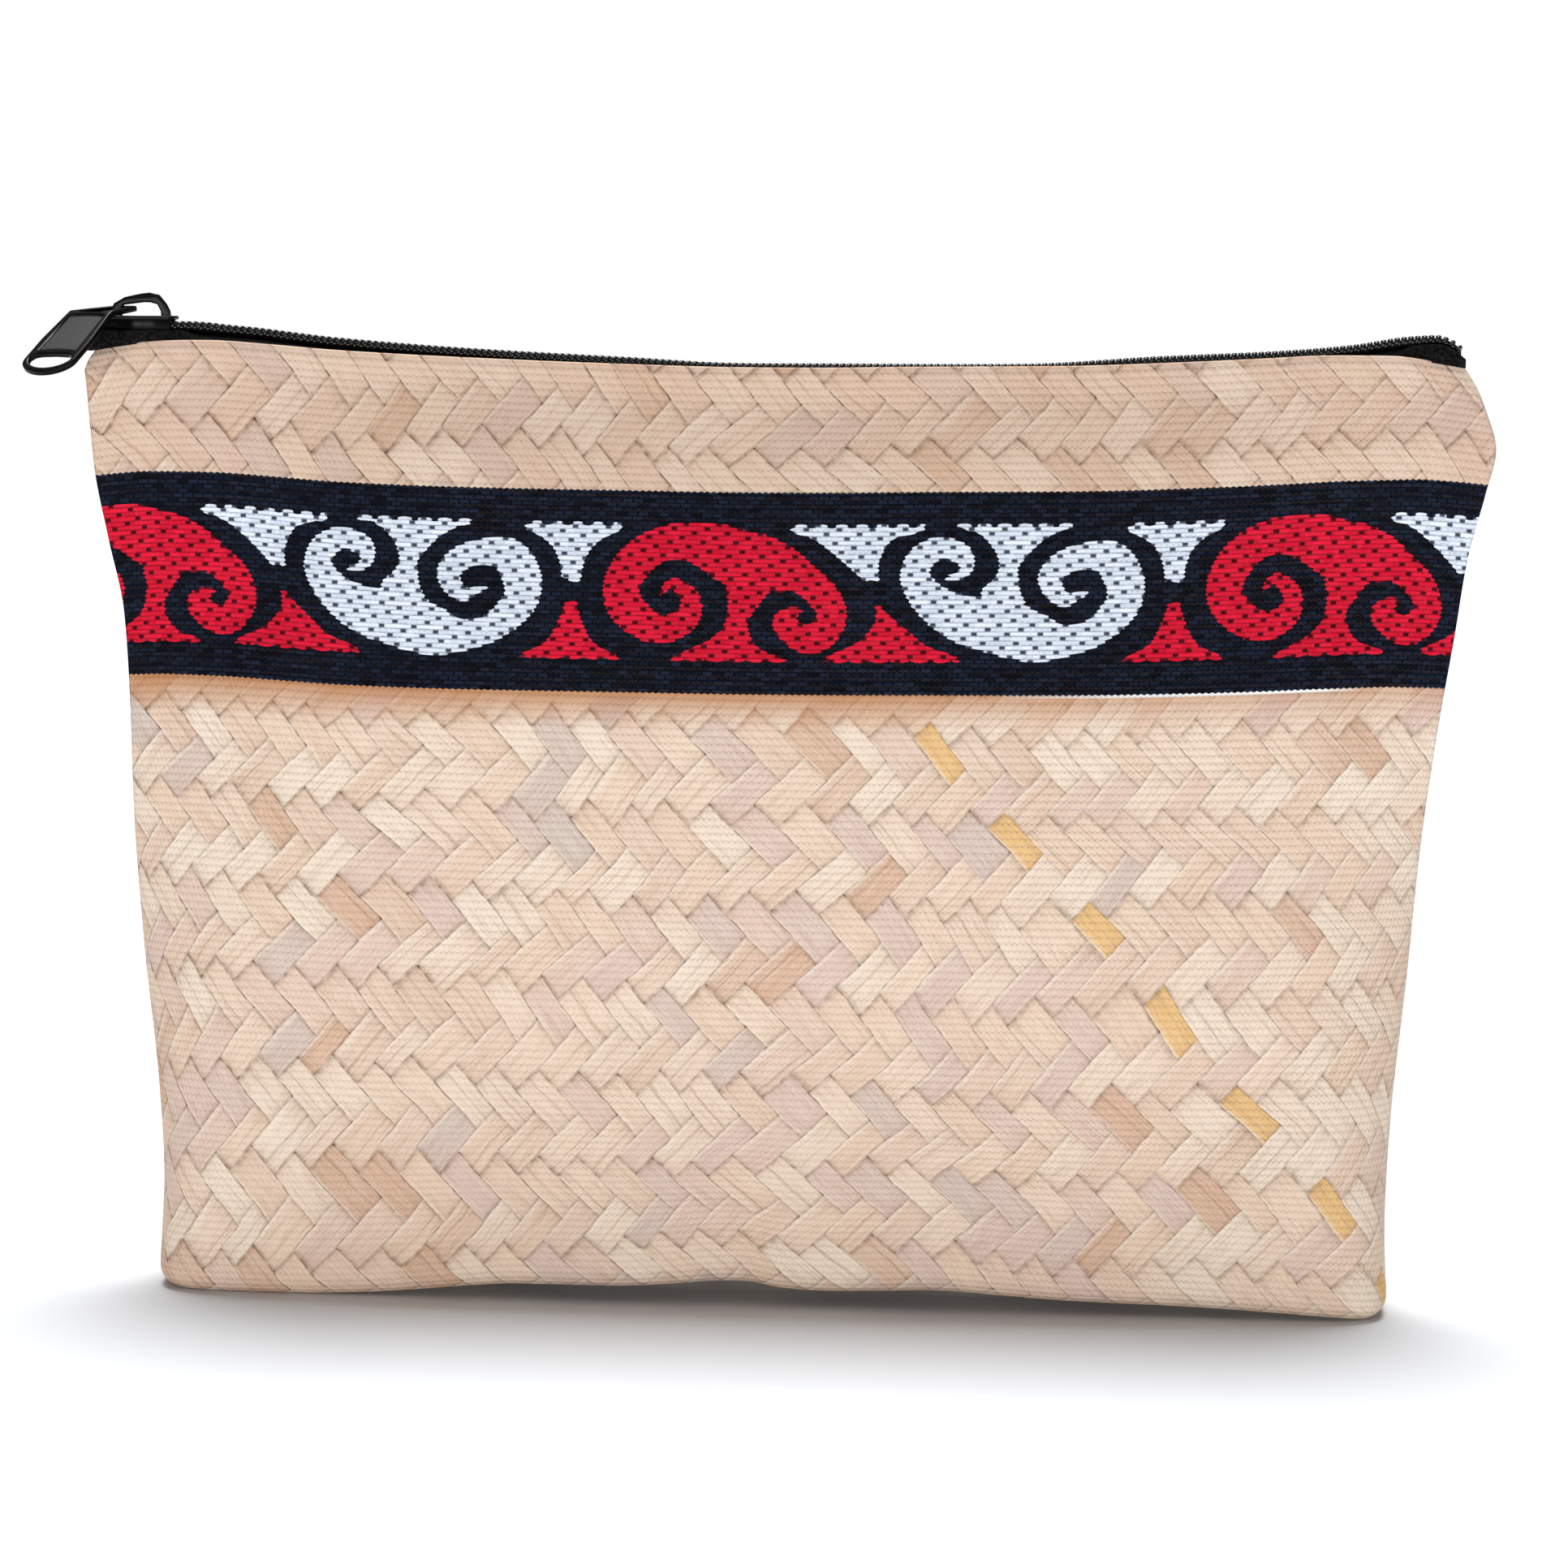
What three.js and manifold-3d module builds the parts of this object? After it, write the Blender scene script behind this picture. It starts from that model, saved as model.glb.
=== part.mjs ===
// A flat-topped zip pouch in printed canvas, standing on its boxed base, with its zip closed.
// Millimetres, +Z up, X along the zip, the front facing -Y. The origin is on the floor, in the
// middle of the whole, pull tab included.
import * as THREE from 'three';
import { mergeVertices } from 'three/addons/utils/BufferGeometryUtils.js';
import Module from 'manifold-3d';

const solids = await Module();
solids.setup();

// Pouch body
const pouchWidth = 240; // across the shoulders, where it is widest
const rimHeight = 159.5; // the cloth's top edge at mid-width
const rimRise = 3.9; // how far that edge climbs towards the two ends of the zip
const bellyDepth = 44; // front to back where it is fullest
const mouthHalf = 5.9; // zip line to the outside of the cloth's top edge
const clothThickness = 1.4; // canvas with its backing
const baseFold = 3.8; // radius of the fold between base and walls
const baseLift = 3.9; // how far the front fold lifts off the floor at mid-width
const liftReach = 42; // height over which that lift fades out
const seamGap = 0.3; // between the two panels where they are sewn
const rimCrown = 0.25; // rounding of the folded top edge

// Zip
const coilWidth = 4.8;
const coilHeight = 1.6;
const ribPitch = 2.3; // one rib stands for two teeth
const ribDip = 0.5; // depth of the valley between two ribs
const tapeThickness = 0.5;
const tapeReach = 4.2; // zip line to the outside of the tape where it lies flat
const tapeSkirt = 7; // how far the tape runs down inside the cloth
const tapeLip = 0.3; // least depth of the tape's turned edge where it has no skirt
const fitGap = 0.2; // between tape, coil and slider
const seatGap = 0.3; // between tape and cloth
const tapeEase = 0.1; // added to that where the tape's path is drawn in straight steps
const zipRise = 7.5; // how far the zip climbs from its middle to its ends
const zipSink = 0.5; // coil centre below the cloth's edge at mid-width
const tapeSplit = 0.35; // zip line to the inner edge of each tape

// Slider, in its own frame: nose towards -X
const sliderPlace = -114; // along the zip
const sliderLength = 17.5;
const sliderNoseHalf = 4;
const sliderRearHalf = 3.3;
const sliderPlate = 0.7; // thickness of the upper plate
const sliderSole = 0.5; // thickness of the lower plate
const flangeThickness = 0.6;
const postHalf = 1.2; // wedge that parts the two tapes
const postLength = 2.4;
const crownLeft = -1.5; // foot of the crown's front leg, from the slider's centre
const crownRight = 7; // foot of its rear leg
const crownThickness = 1.1;
const crownBreadth = 1.2;
const crownRise = 0.35; // how much higher the crown stands at its rear than above the pull

// Pull tab, hooked on the front leg of the crown
const pullTurn = -34.2; // degrees about Z from the zip's direction to the pull's own width
const pullWidth = 11.2;
const pullNeck = 9.5; // width where the slot ends
const pullHead = 6; // width at the cross bar
const pullLength = 26; // cross bar to tip
const pullThickness = 1.0;
const pullSlot = 7.8; // cross bar to the far end of the slot
const headDroop = 5; // degrees below the horizontal, of the slotted head
const bladeDroop = 33; // degrees below the horizontal, of the blade
const pullRim = 1.25; // metal left around slot and finger hole
const holeLength = 3.9;
const recessDepth = 0.25;
const recessMargin = 1.1;
const barBehind = 1.6; // cross bar's centre behind the crown's middle plane
const barClear = 0.8; // cross bar to the crown above it

// Horizontal sections from the base to the rim. up: share of the height; left and right: share of
// half the width; depth: share of half the belly; plan and edge: how square the section is across
// its face and at its ends; ply: 1 where the two cloths lie flat together at the side seam.
const sections = [
  { up: 0.0, left: 0.878, right: 0.887, depth: 0.88, plan: 24, edge: 4.0, ply: 0 },
  { up: 0.1, left: 0.876, right: 0.881, depth: 0.94, plan: 15, edge: 3.0, ply: 0 },
  { up: 0.2, left: 0.887, right: 0.886, depth: 0.99, plan: 9, edge: 2.2, ply: 0.1 },
  { up: 0.36, left: 0.914, right: 0.904, depth: 1.0, plan: 5.5, edge: 1.6, ply: 0.45 },
  { up: 0.5, left: 0.93, right: 0.918, depth: 0.93, plan: 4, edge: 1.3, ply: 0.8 },
  { up: 0.62, left: 0.937, right: 0.937, depth: 0.82, plan: 3.5, edge: 1.15, ply: 1 },
  { up: 0.72, left: 0.947, right: 0.957, depth: 0.7, plan: 3.3, edge: 1.05, ply: 1 },
  { up: 0.8, left: 0.971, right: 0.972, depth: 0.58, plan: 3.3, edge: 1, ply: 1 },
  { up: 0.87, left: 0.991, right: 0.995, depth: 0.46, plan: 4, edge: 1, ply: 1 },
  { up: 0.915, left: 0.998, right: 1.01, depth: 0.39, plan: 5.5, edge: 1, ply: 1 },
  { up: 0.96, left: 1.004, right: 0.996, depth: 0.32, plan: 9, edge: 1, ply: 1 },
  { up: 0.98, left: 1.007, right: 0.988, depth: 0.29, plan: 12, edge: 1, ply: 1 },
  { up: 1.0, left: 0.992, right: 0.976, depth: 0.27, plan: 14, edge: 1, ply: 1 },
];

// The cloth's top edge. across: share of the way from the middle to each side seam; rise: share of
// rimRise.
const rimLine = [
  { across: -1, rise: 0.2 },
  { across: -0.96, rise: 0.42 },
  { across: -0.92, rise: 0.58 },
  { across: -0.82, rise: 0.68 },
  { across: -0.73, rise: 0.54 },
  { across: -0.64, rise: 0.36 },
  { across: -0.45, rise: 0.15 },
  { across: -0.22, rise: 0.03 },
  { across: -0.08, rise: 0 },
  { across: 0.06, rise: 0.08 },
  { across: 0.2, rise: 0.2 },
  { across: 0.43, rise: 0.3 },
  { across: 0.61, rise: 0.59 },
  { across: 0.71, rise: 0.79 },
  { across: 0.8, rise: 0.97 },
  { across: 0.89, rise: 1 },
  { across: 0.94, rise: 0.86 },
  { across: 1, rise: 0.6 },
];

// How the front fold of the base lifts and dips. lift: share of baseLift.
const foldWave = [
  { across: -0.65, lift: 0 },
  { across: -0.56, lift: 0.13 },
  { across: -0.49, lift: 0.32 },
  { across: -0.41, lift: 0.57 },
  { across: -0.36, lift: 0.67 },
  { across: -0.22, lift: 0.69 },
  { across: -0.14, lift: 0.84 },
  { across: -0.08, lift: 0.98 },
  { across: -0.03, lift: 1 },
  { across: 0.02, lift: 0.8 },
  { across: 0.08, lift: 0.73 },
  { across: 0.16, lift: 0.8 },
  { across: 0.24, lift: 0.88 },
  { across: 0.33, lift: 0.74 },
  { across: 0.42, lift: 0.59 },
  { across: 0.6, lift: 0.46 },
  { across: 0.7, lift: 0.33 },
  { across: 0.8, lift: 0.15 },
  { across: 0.88, lift: 0 },
];

// Soft dents and fullness of the cloth. across and up place the middle; wide and tall: shares of
// half the width and of the height; push: share of half the belly, outwards; lean: sideways shift
// of the crease for each unit of height.
const dents = [
  { across: -0.8, up: 0.77, wide: 0.07, tall: 0.11, push: -0.09, lean: 0.5 },
  { across: 0.8, up: 0.77, wide: 0.07, tall: 0.11, push: -0.09, lean: -0.5 },
  { across: -0.66, up: 0.24, wide: 0.05, tall: 0.16, push: -0.06, lean: -0.6 },
  { across: 0.68, up: 0.22, wide: 0.05, tall: 0.15, push: -0.06, lean: 0.6 },
  { across: -0.05, up: 0.03, wide: 0.05, tall: 0.1, push: -0.08, lean: 0 },
  { across: 0.42, up: 0.9, wide: 0.2, tall: 0.07, push: 0.05, lean: 0 },
  { across: -0.4, up: 0.9, wide: 0.2, tall: 0.07, push: 0.05, lean: 0 },
];

// The zip's course. along: share of half the mouth; rise: share of zipRise.
const zipLine = [
  { along: -1.04, rise: 0.72 },
  { along: -0.96, rise: 0.74 },
  { along: -0.88, rise: 0.76 },
  { along: -0.79, rise: 0.68 },
  { along: -0.65, rise: 0.46 },
  { along: -0.46, rise: 0.28 },
  { along: -0.22, rise: 0.07 },
  { along: -0.08, rise: 0 },
  { along: 0.06, rise: 0.07 },
  { along: 0.35, rise: 0.16 },
  { along: 0.54, rise: 0.4 },
  { along: 0.72, rise: 0.58 },
  { along: 0.82, rise: 0.74 },
  { along: 0.905, rise: 0.96 },
  { along: 0.945, rise: 1 },
  { along: 0.965, rise: 0.9 },
  { along: 0.985, rise: 0.68 },
];

// How fine the cloth is meshed. wallLevels: shares of the height.
const clothColumns = 36;
const tapeStep = 4.6;
const wallLevels = [
  0.06, 0.13, 0.2, 0.28, 0.36, 0.44, 0.53, 0.62, 0.7, 0.76, 0.82, 0.87, 0.915, 0.95, 0.98, 1,
];

const printedCanvas = new THREE.MeshStandardMaterial({ color: '#dcbd9d', roughness: 0.9, metalness: 0 });
const zipTape = new THREE.MeshStandardMaterial({ color: '#101011', roughness: 0.85, metalness: 0 });
const zipNylon = new THREE.MeshStandardMaterial({ color: '#0b0b0c', roughness: 0.35, metalness: 0 });
const blackMetal = new THREE.MeshStandardMaterial({ color: '#161616', roughness: 0.3, metalness: 0.7 });

const radians = THREE.MathUtils.degToRad;
const lerp = THREE.MathUtils.lerp;

// Reads one column of a table at a place, smoothly and without overshoot between its rows.
function readTable(rows, placeKey, valueKey, place) {
  const last = rows.length - 1;
  if (place <= rows[0][placeKey]) return rows[0][valueKey];
  if (place >= rows[last][placeKey]) return rows[last][valueKey];
  const i = rows.findIndex((row) => row[placeKey] > place) - 1;
  const rise = (k) => rows[k + 1][valueKey] - rows[k][valueKey];
  const slope = (k) => rise(k) / (rows[k + 1][placeKey] - rows[k][placeKey]);
  const tangent = (k) => {
    if (k === 0) return slope(0);
    if (k === last) return slope(last - 1);
    const before = slope(k - 1);
    const after = slope(k);
    return before * after <= 0 ? 0 : (2 * before * after) / (before + after);
  };
  const span = rows[i + 1][placeKey] - rows[i][placeKey];
  const t = (place - rows[i][placeKey]) / span;
  const [low, high] = [rows[i][valueKey], rows[i + 1][valueKey]];
  return (
    low * (1 + 2 * t) * (1 - t) ** 2 +
    tangent(i) * span * t * (1 - t) ** 2 +
    high * t * t * (3 - 2 * t) +
    tangent(i + 1) * span * t * t * (t - 1)
  );
}

// A closed body skinned over rings with equal point counts, its two ends closed by strips.
function skin(rings) {
  const count = rings[0].length;
  const positions = rings.flat().flatMap((point) => [point.x, point.y, point.z]);
  const faces = [];
  for (let r = 0; r < rings.length - 1; r += 1) {
    for (let k = 0; k < count; k += 1) {
      const a = r * count + k;
      const b = r * count + ((k + 1) % count);
      faces.push(a, b, a + count, b, b + count, a + count);
    }
  }
  const close = (start, flip) => {
    for (let low = 0, high = count - 1; high - low > 1; ) {
      const a = start + low;
      const b = start + high;
      low += 1;
      faces.push(...(flip ? [a, b, start + low] : [a, start + low, b]));
      if (high - low > 1) {
        high -= 1;
        faces.push(...(flip ? [start + low, b, start + high] : [start + low, start + high, b]));
      }
    }
  };
  close(0, true);
  close((rings.length - 1) * count, false);
  const geometry = new THREE.BufferGeometry();
  geometry.setAttribute('position', new THREE.Float32BufferAttribute(positions, 3));
  geometry.setIndex(faces);
  return outward(geometry);
}

// Turns a closed body's faces outwards, whichever way its rings ran.
function outward(geometry) {
  const at = geometry.getAttribute('position');
  const index = geometry.getIndex();
  const [a, b, c] = [new THREE.Vector3(), new THREE.Vector3(), new THREE.Vector3()];
  let volume = 0;
  for (let i = 0; i < index.count; i += 3) {
    a.fromBufferAttribute(at, index.getX(i));
    b.fromBufferAttribute(at, index.getX(i + 1));
    c.fromBufferAttribute(at, index.getX(i + 2));
    volume += a.dot(b.cross(c));
  }
  if (volume < 0) index.array.reverse();
  return geometry;
}

function toSolid(geometry) {
  const bare = geometry.clone();
  bare.deleteAttribute('normal');
  bare.deleteAttribute('uv');
  const merged = mergeVertices(bare, 1e-4);
  return new solids.Manifold(
    new solids.Mesh({
      numProp: 3,
      vertProperties: new Float32Array(merged.getAttribute('position').array),
      triVerts: new Uint32Array(merged.getIndex().array),
    }),
  );
}

function toGeometry(solid) {
  const mesh = solid.getMesh();
  const geometry = new THREE.BufferGeometry();
  geometry.setAttribute('position', new THREE.BufferAttribute(new Float32Array(mesh.vertProperties), 3));
  geometry.setIndex(new THREE.BufferAttribute(new Uint32Array(mesh.triVerts), 1));
  return geometry;
}

// A flat shape given a thickness, centred on its own plane.
function plate(shape, thickness, curveSegments = 10) {
  const geometry = new THREE.ExtrudeGeometry(shape, { depth: thickness, bevelEnabled: false, curveSegments });
  return geometry.translate(0, 0, -thickness / 2);
}

// Points at equal distances along a line of many short steps.
function spaced(line, steps) {
  const reached = [0];
  for (let i = 1; i < line.length; i += 1) reached.push(reached[i - 1] + line[i].distanceTo(line[i - 1]));
  const total = reached.at(-1);
  let i = 1;
  return Array.from({ length: steps + 1 }, (_, step) => {
    const target = (total * step) / steps;
    while (i < line.length - 1 && reached[i] < target) i += 1;
    const t = (target - reached[i - 1]) / (reached[i] - reached[i - 1]);
    return line[i - 1].clone().lerp(line[i], t);
  });
}

// Half of a horizontal section, from the left seam round the face to the right seam. The face is
// drawn towards -Y.
function sectionLine(up) {
  const read = (key) => readTable(sections, 'up', key, up);
  const [plan, edge] = [read('plan'), read('edge')];
  const depth = lerp((read('depth') * bellyDepth) / 2, mouthHalf, THREE.MathUtils.smoothstep(up, 0.9, 1));
  const seam = seamGap / 2 + clothThickness * read('ply');
  const steps = 400;
  const line = Array.from({ length: steps + 1 }, (_, i) => {
    const turn = (Math.PI * i) / steps;
    const side = Math.cos(turn) > 0 ? 'left' : 'right';
    const half = (read(side) * pouchWidth) / 2;
    const x = Math.abs(Math.cos(turn)) ** (2 / plan);
    const y = Math.max(0, 1 - x ** plan) ** (1 / edge);
    return new THREE.Vector2(side === 'left' ? -half * x : half * x, -seam - (depth - seam) * y);
  });
  return spaced(line, clothColumns);
}

// Moves each point of a section towards the inside of the pouch, never past the seam plane.
function moveInwards(line, distances) {
  return line.map((point, i) => {
    const along = line[Math.min(i + 1, line.length - 1)].clone().sub(line[Math.max(i - 1, 0)]).normalize();
    const inner = new THREE.Vector2(-along.y, along.x).multiplyScalar(distances(i)).add(point);
    inner.y = Math.min(inner.y, -seamGap / 2);
    return inner;
  });
}

const acrossAt = (column) => (2 * column) / clothColumns - 1;

function dentAt(across, up) {
  const fade = 1 - Math.abs(across) ** 8;
  return dents.reduce((sum, dent) => {
    const side = (across - dent.across - dent.lean * (up - dent.up)) / dent.wide;
    const height = (up - dent.up) / dent.tall;
    return sum + fade * dent.push * (bellyDepth / 2) * Math.exp(-side * side - height * height);
  }, 0);
}

function rimAt(across) {
  return rimHeight + rimRise * readTable(rimLine, 'across', 'rise', across);
}

// One row of points round the face, as a list over the columns. inset: how far inside the outline;
// height: above the floor before the fold's lift.
function faceRow(height, inset, thickness) {
  const up = height / rimHeight;
  const line = sectionLine(Math.max(0, Math.min(1, up)));
  const moved = moveInwards(line, (i) => inset + thickness - dentAt(acrossAt(i), up));
  return moved.map((point, i) => {
    const lift = baseLift * readTable(foldWave, 'across', 'lift', acrossAt(i));
    const stretch = rimAt(acrossAt(i)) / rimHeight;
    const fade = 1 - THREE.MathUtils.smoothstep(height, 0, liftReach);
    return new THREE.Vector3(point.x, point.y, lerp(height, height * stretch, up) + lift * fade);
  });
}

// All rows of the outer or inner face of a panel, from the seam under the base to the rim.
function faceRows(thickness) {
  const radius = baseFold - thickness;
  const rows = [0, 30, 60, 90].map((angle) => {
    const turn = radians(angle);
    return faceRow(thickness + radius * (1 - Math.cos(turn)), radius * (1 - Math.sin(turn)), thickness);
  });
  const foot = rows[0];
  const seamHalf = (sections[0].left * pouchWidth) / 2 - 2 * baseFold;
  const floorRow = (share) =>
    foot.map((point, i) => {
      const seam = new THREE.Vector3(acrossAt(i) * seamHalf, -seamGap / 2, thickness);
      return seam.lerp(point, share).setZ(thickness);
    });
  rows.push(...wallLevels.map((up) => faceRow(up * rimHeight, 0, thickness)));
  return [floorRow(0), floorRow(0.5), ...rows];
}

// One printed panel: half of the base, the fold, the wall and the turned top edge.
function panel() {
  const outer = faceRows(0);
  const inner = faceRows(clothThickness);
  const rings = outer[0].map((_, column) => {
    const crown = outer.at(-1)[column].clone().lerp(inner.at(-1)[column], 0.5);
    crown.z += rimCrown;
    return [...outer.map((row) => row[column]), crown, ...inner.map((row) => row[column]).reverse()];
  });
  return skin(rings);
}

// The same body turned to the other side of the zip.
function mirrored(geometry) {
  const turned = geometry.clone().scale(1, -1, 1);
  return outward(turned);
}

const mouthLeft = (sections.at(-1).left * pouchWidth) / 2;
const mouthRight = (sections.at(-1).right * pouchWidth) / 2;

function zipHeight(x) {
  const along = x / (x < 0 ? mouthLeft : mouthRight);
  return rimHeight - zipSink + zipRise * readTable(zipLine, 'along', 'rise', along);
}

const zipStart = sliderPlace - sliderLength / 2 + postLength + 2 * fitGap;
const zipEnd = mouthRight * 0.985;
const sliderSlope = Math.atan2(
  zipHeight(sliderPlace + sliderLength / 2) - zipHeight(sliderPlace - sliderLength / 2),
  sliderLength,
);

// Inside the slider the zip runs straight; elsewhere it follows its table.
function zipCentre(x) {
  const middle = zipHeight(sliderPlace - sliderLength / 2) + (sliderLength / 2) * Math.tan(sliderSlope);
  const straight = middle + (x - sliderPlace) * Math.tan(sliderSlope);
  const leaving = THREE.MathUtils.smoothstep(x, sliderPlace + sliderLength / 2, sliderPlace + sliderLength);
  return lerp(straight, zipHeight(x), leaving);
}

// Both rows of teeth, closed, as one ribbed body: the front row's ribs stand half a pitch from
// the back row's.
function coil() {
  const count = Math.round(((zipEnd - zipStart) / ribPitch) * 2);
  const [half, high] = [coilWidth / 2, coilHeight / 2];
  const rings = Array.from({ length: count + 1 }, (_, i) => {
    const x = lerp(zipStart, zipEnd, i / count);
    const [front, back] = i % 2 ? [ribDip, 0] : [0, ribDip];
    const centre = zipCentre(x);
    return [
      new THREE.Vector3(x, -half, centre - high),
      new THREE.Vector3(x, half, centre - high),
      new THREE.Vector3(x, half, centre + high - back),
      new THREE.Vector3(x, 0, centre + high - ribDip),
      new THREE.Vector3(x, -half, centre + high - front),
    ];
  });
  return skin(rings);
}

// Inside of the cloth's top edge, measured from the zip line, where the tape's skirt hangs.
const rimInside = faceRow(rimHeight - tapeSkirt * 0.5, 0, clothThickness);
const rimLip = faceRow(rimHeight, 0, clothThickness);
function clothInside(x) {
  const reach = (row) => {
    const i = Math.max(1, row.findIndex((point) => point.x > x));
    const t = (x - row[i - 1].x) / (row[i].x - row[i - 1].x);
    return -lerp(row[i - 1].y, row[i].y, t);
  };
  return Math.min(reach(rimInside), reach(rimLip));
}

// Places along the zip: every mark, with even steps between one mark and the next.
function stationsThrough(marks, step) {
  return marks.flatMap((mark, i) => {
    if (i === marks.length - 1) return [mark];
    const count = Math.max(1, Math.ceil((marks[i + 1] - mark) / step));
    return Array.from({ length: count }, (_, k) => lerp(mark, marks[i + 1], k / count));
  });
}

// Half of the zip's tape, on the front side: flat under the coil, then down inside the cloth. Near
// both ends it lies flat over the corner, and at the slider's nose it makes room for the post.
function tape() {
  const start = sliderPlace - sliderLength / 2 - 1.2;
  const postEnd = sliderPlace - sliderLength / 2 + postLength + fitGap;
  const skirtLeft = sliderPlace + sliderLength / 2 + 1;
  const skirtRight = mouthRight * 0.91;
  const taper = 4;
  const under = coilHeight / 2 + fitGap;
  const { smoothstep } = THREE.MathUtils;
  const marks = [
    start,
    postEnd,
    postEnd + taper,
    skirtLeft - taper,
    skirtLeft,
    skirtLeft + taper / 2,
    skirtLeft + taper,
    skirtRight - taper,
    skirtRight - taper / 2,
    skirtRight,
    skirtRight + taper,
    zipEnd,
  ];
  const rings = stationsThrough(marks, tapeStep).map((x) => {
    const leftEase = smoothstep(x, skirtLeft, skirtLeft + taper);
    const inside = leftEase * (1 - smoothstep(x, skirtRight - taper, skirtRight));
    const parting = 1 - smoothstep(x, postEnd, postEnd + taper);
    const leftNarrow = smoothstep(x, skirtLeft - taper, skirtLeft);
    const narrow = leftNarrow * (1 - smoothstep(x, skirtRight, skirtRight + taper));
    const near = lerp(tapeSplit, postHalf + seatGap, parting);
    const snug = Math.min(tapeReach, clothInside(x) - seatGap - tapeEase);
    const far = lerp(tapeReach, snug, narrow);
    const top = zipCentre(x) - under;
    const drop = inside * Math.max(0, top - (rimAt(x / mouthRight) - clothThickness));
    const toRim = top - tapeThickness - rimAt(x / (x < 0 ? mouthLeft : mouthRight)) - rimCrown - seatGap;
    const skirt = lerp(Math.max(tapeLip, toRim - tapeEase), tapeSkirt, inside);
    return [
      new THREE.Vector3(x, -near, top),
      new THREE.Vector3(x, -far + tapeThickness, top - drop * 0.35),
      new THREE.Vector3(x, -far, top - drop),
      new THREE.Vector3(x, -far, top - drop - tapeThickness - skirt),
      new THREE.Vector3(x, -far + tapeThickness, top - drop - tapeThickness - skirt),
      new THREE.Vector3(x, -far + tapeThickness, top - drop * 0.6 - tapeThickness),
      new THREE.Vector3(x, -near, top - tapeThickness),
    ];
  });
  return skin(rings);
}

const plateTop = coilHeight / 2 + fitGap + sliderPlate;
const soleBottom = -(coilHeight / 2 + fitGap + tapeThickness + fitGap + sliderSole);

// Outline of a slider plate seen from above, widest at the nose.
function sliderOutline(trim) {
  const front = -sliderLength / 2 + trim;
  const rear = sliderLength / 2 - trim;
  const nose = sliderNoseHalf - trim;
  const tail = sliderRearHalf - trim;
  const shape = new THREE.Shape();
  shape.moveTo(rear, -tail + 1);
  shape.lineTo(rear, tail - 1);
  shape.quadraticCurveTo(rear, tail, rear - 1, tail);
  shape.lineTo(0, tail);
  shape.quadraticCurveTo(front + 6, tail + 0.1, front + 4.2, nose - 0.1);
  shape.quadraticCurveTo(front + 2, nose, front, nose * 0.35);
  shape.lineTo(front, -nose * 0.35);
  shape.quadraticCurveTo(front + 2, -nose, front + 4.2, -nose + 0.1);
  shape.quadraticCurveTo(front + 6, -tail - 0.1, 0, -tail);
  shape.lineTo(rear - 1, -tail);
  shape.quadraticCurveTo(rear, -tail, rear, -tail + 1);
  return shape;
}

// The crown that the pull hooks on: a strap bent into a hook over the upper plate, in the zip's
// plane, its front leg slanting up and its rear leg steep.
function crown(barTop) {
  const foot = plateTop - sliderPlate / 2;
  const low = barTop + barClear;
  const high = low + crownRise;
  const [left, right] = [crownLeft - crownThickness / 2, crownRight + crownThickness / 2];
  const reach = right - left;
  const shape = new THREE.Shape();
  shape.moveTo(left, foot);
  shape.lineTo(left + crownThickness, foot);
  shape.quadraticCurveTo(left + crownThickness, low, left + crownThickness * 1.9, low);
  shape.lineTo(left + reach * 0.55, high);
  shape.quadraticCurveTo(right - crownThickness * 1.5, high, right - crownThickness, foot);
  shape.lineTo(right, foot);
  const roof = high + crownThickness;
  shape.quadraticCurveTo(right - crownThickness * 0.8, roof, right - crownThickness * 2.2, roof);
  shape.lineTo(left + reach * 0.5, high + crownThickness * 0.95);
  shape.lineTo(left + crownThickness * 1.5, low + crownThickness * 0.85);
  shape.quadraticCurveTo(left, low + crownThickness * 0.3, left, foot);
  return plate(shape, crownBreadth, 5).rotateX(Math.PI / 2);
}

// The pull's place: its cross bar lies behind the crown's front leg and just above the plate, with
// room for the head's underside over the plate's front edge.
const pullAxis = new THREE.Vector3(Math.cos(radians(pullTurn)), Math.sin(radians(pullTurn)), 0);
const headDrop = pullSlot * Math.tan(radians(headDroop));
const barAbovePlate = headDrop + pullThickness * 0.5 + seatGap;
const barHeight = plateTop + barAbovePlate;

function sliderBody() {
  const upper = plate(sliderOutline(0), sliderPlate).translate(0, 0, plateTop - sliderPlate / 2);
  const lower = plate(sliderOutline(0.5), sliderSole).translate(0, 0, soleBottom + sliderSole / 2);
  const railTop = plateTop - sliderPlate * 0.15;
  const railFoot = -coilHeight / 2;
  const rail = new THREE.BoxGeometry(sliderLength * 0.62, flangeThickness, railTop - railFoot);
  const railHeight = (railTop + railFoot) / 2;
  const railPlace = sliderRearHalf - flangeThickness / 2 - 0.05;
  const post = new THREE.BoxGeometry(postLength, 2 * postHalf, plateTop - soleBottom - 0.2);
  const postPlace = -sliderLength / 2 + postLength / 2 + 0.1;
  const body = toSolid(upper)
    .add(toSolid(lower))
    .add(toSolid(rail.clone().translate(sliderLength * 0.15, railPlace, railHeight)))
    .add(toSolid(rail.clone().translate(sliderLength * 0.15, -railPlace, railHeight)))
    .add(toSolid(post.translate(postPlace - 0.1, 0, (plateTop + soleBottom) / 2)))
    .add(toSolid(crown(barHeight + pullThickness / 2)));
  return toGeometry(body);
}

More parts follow.
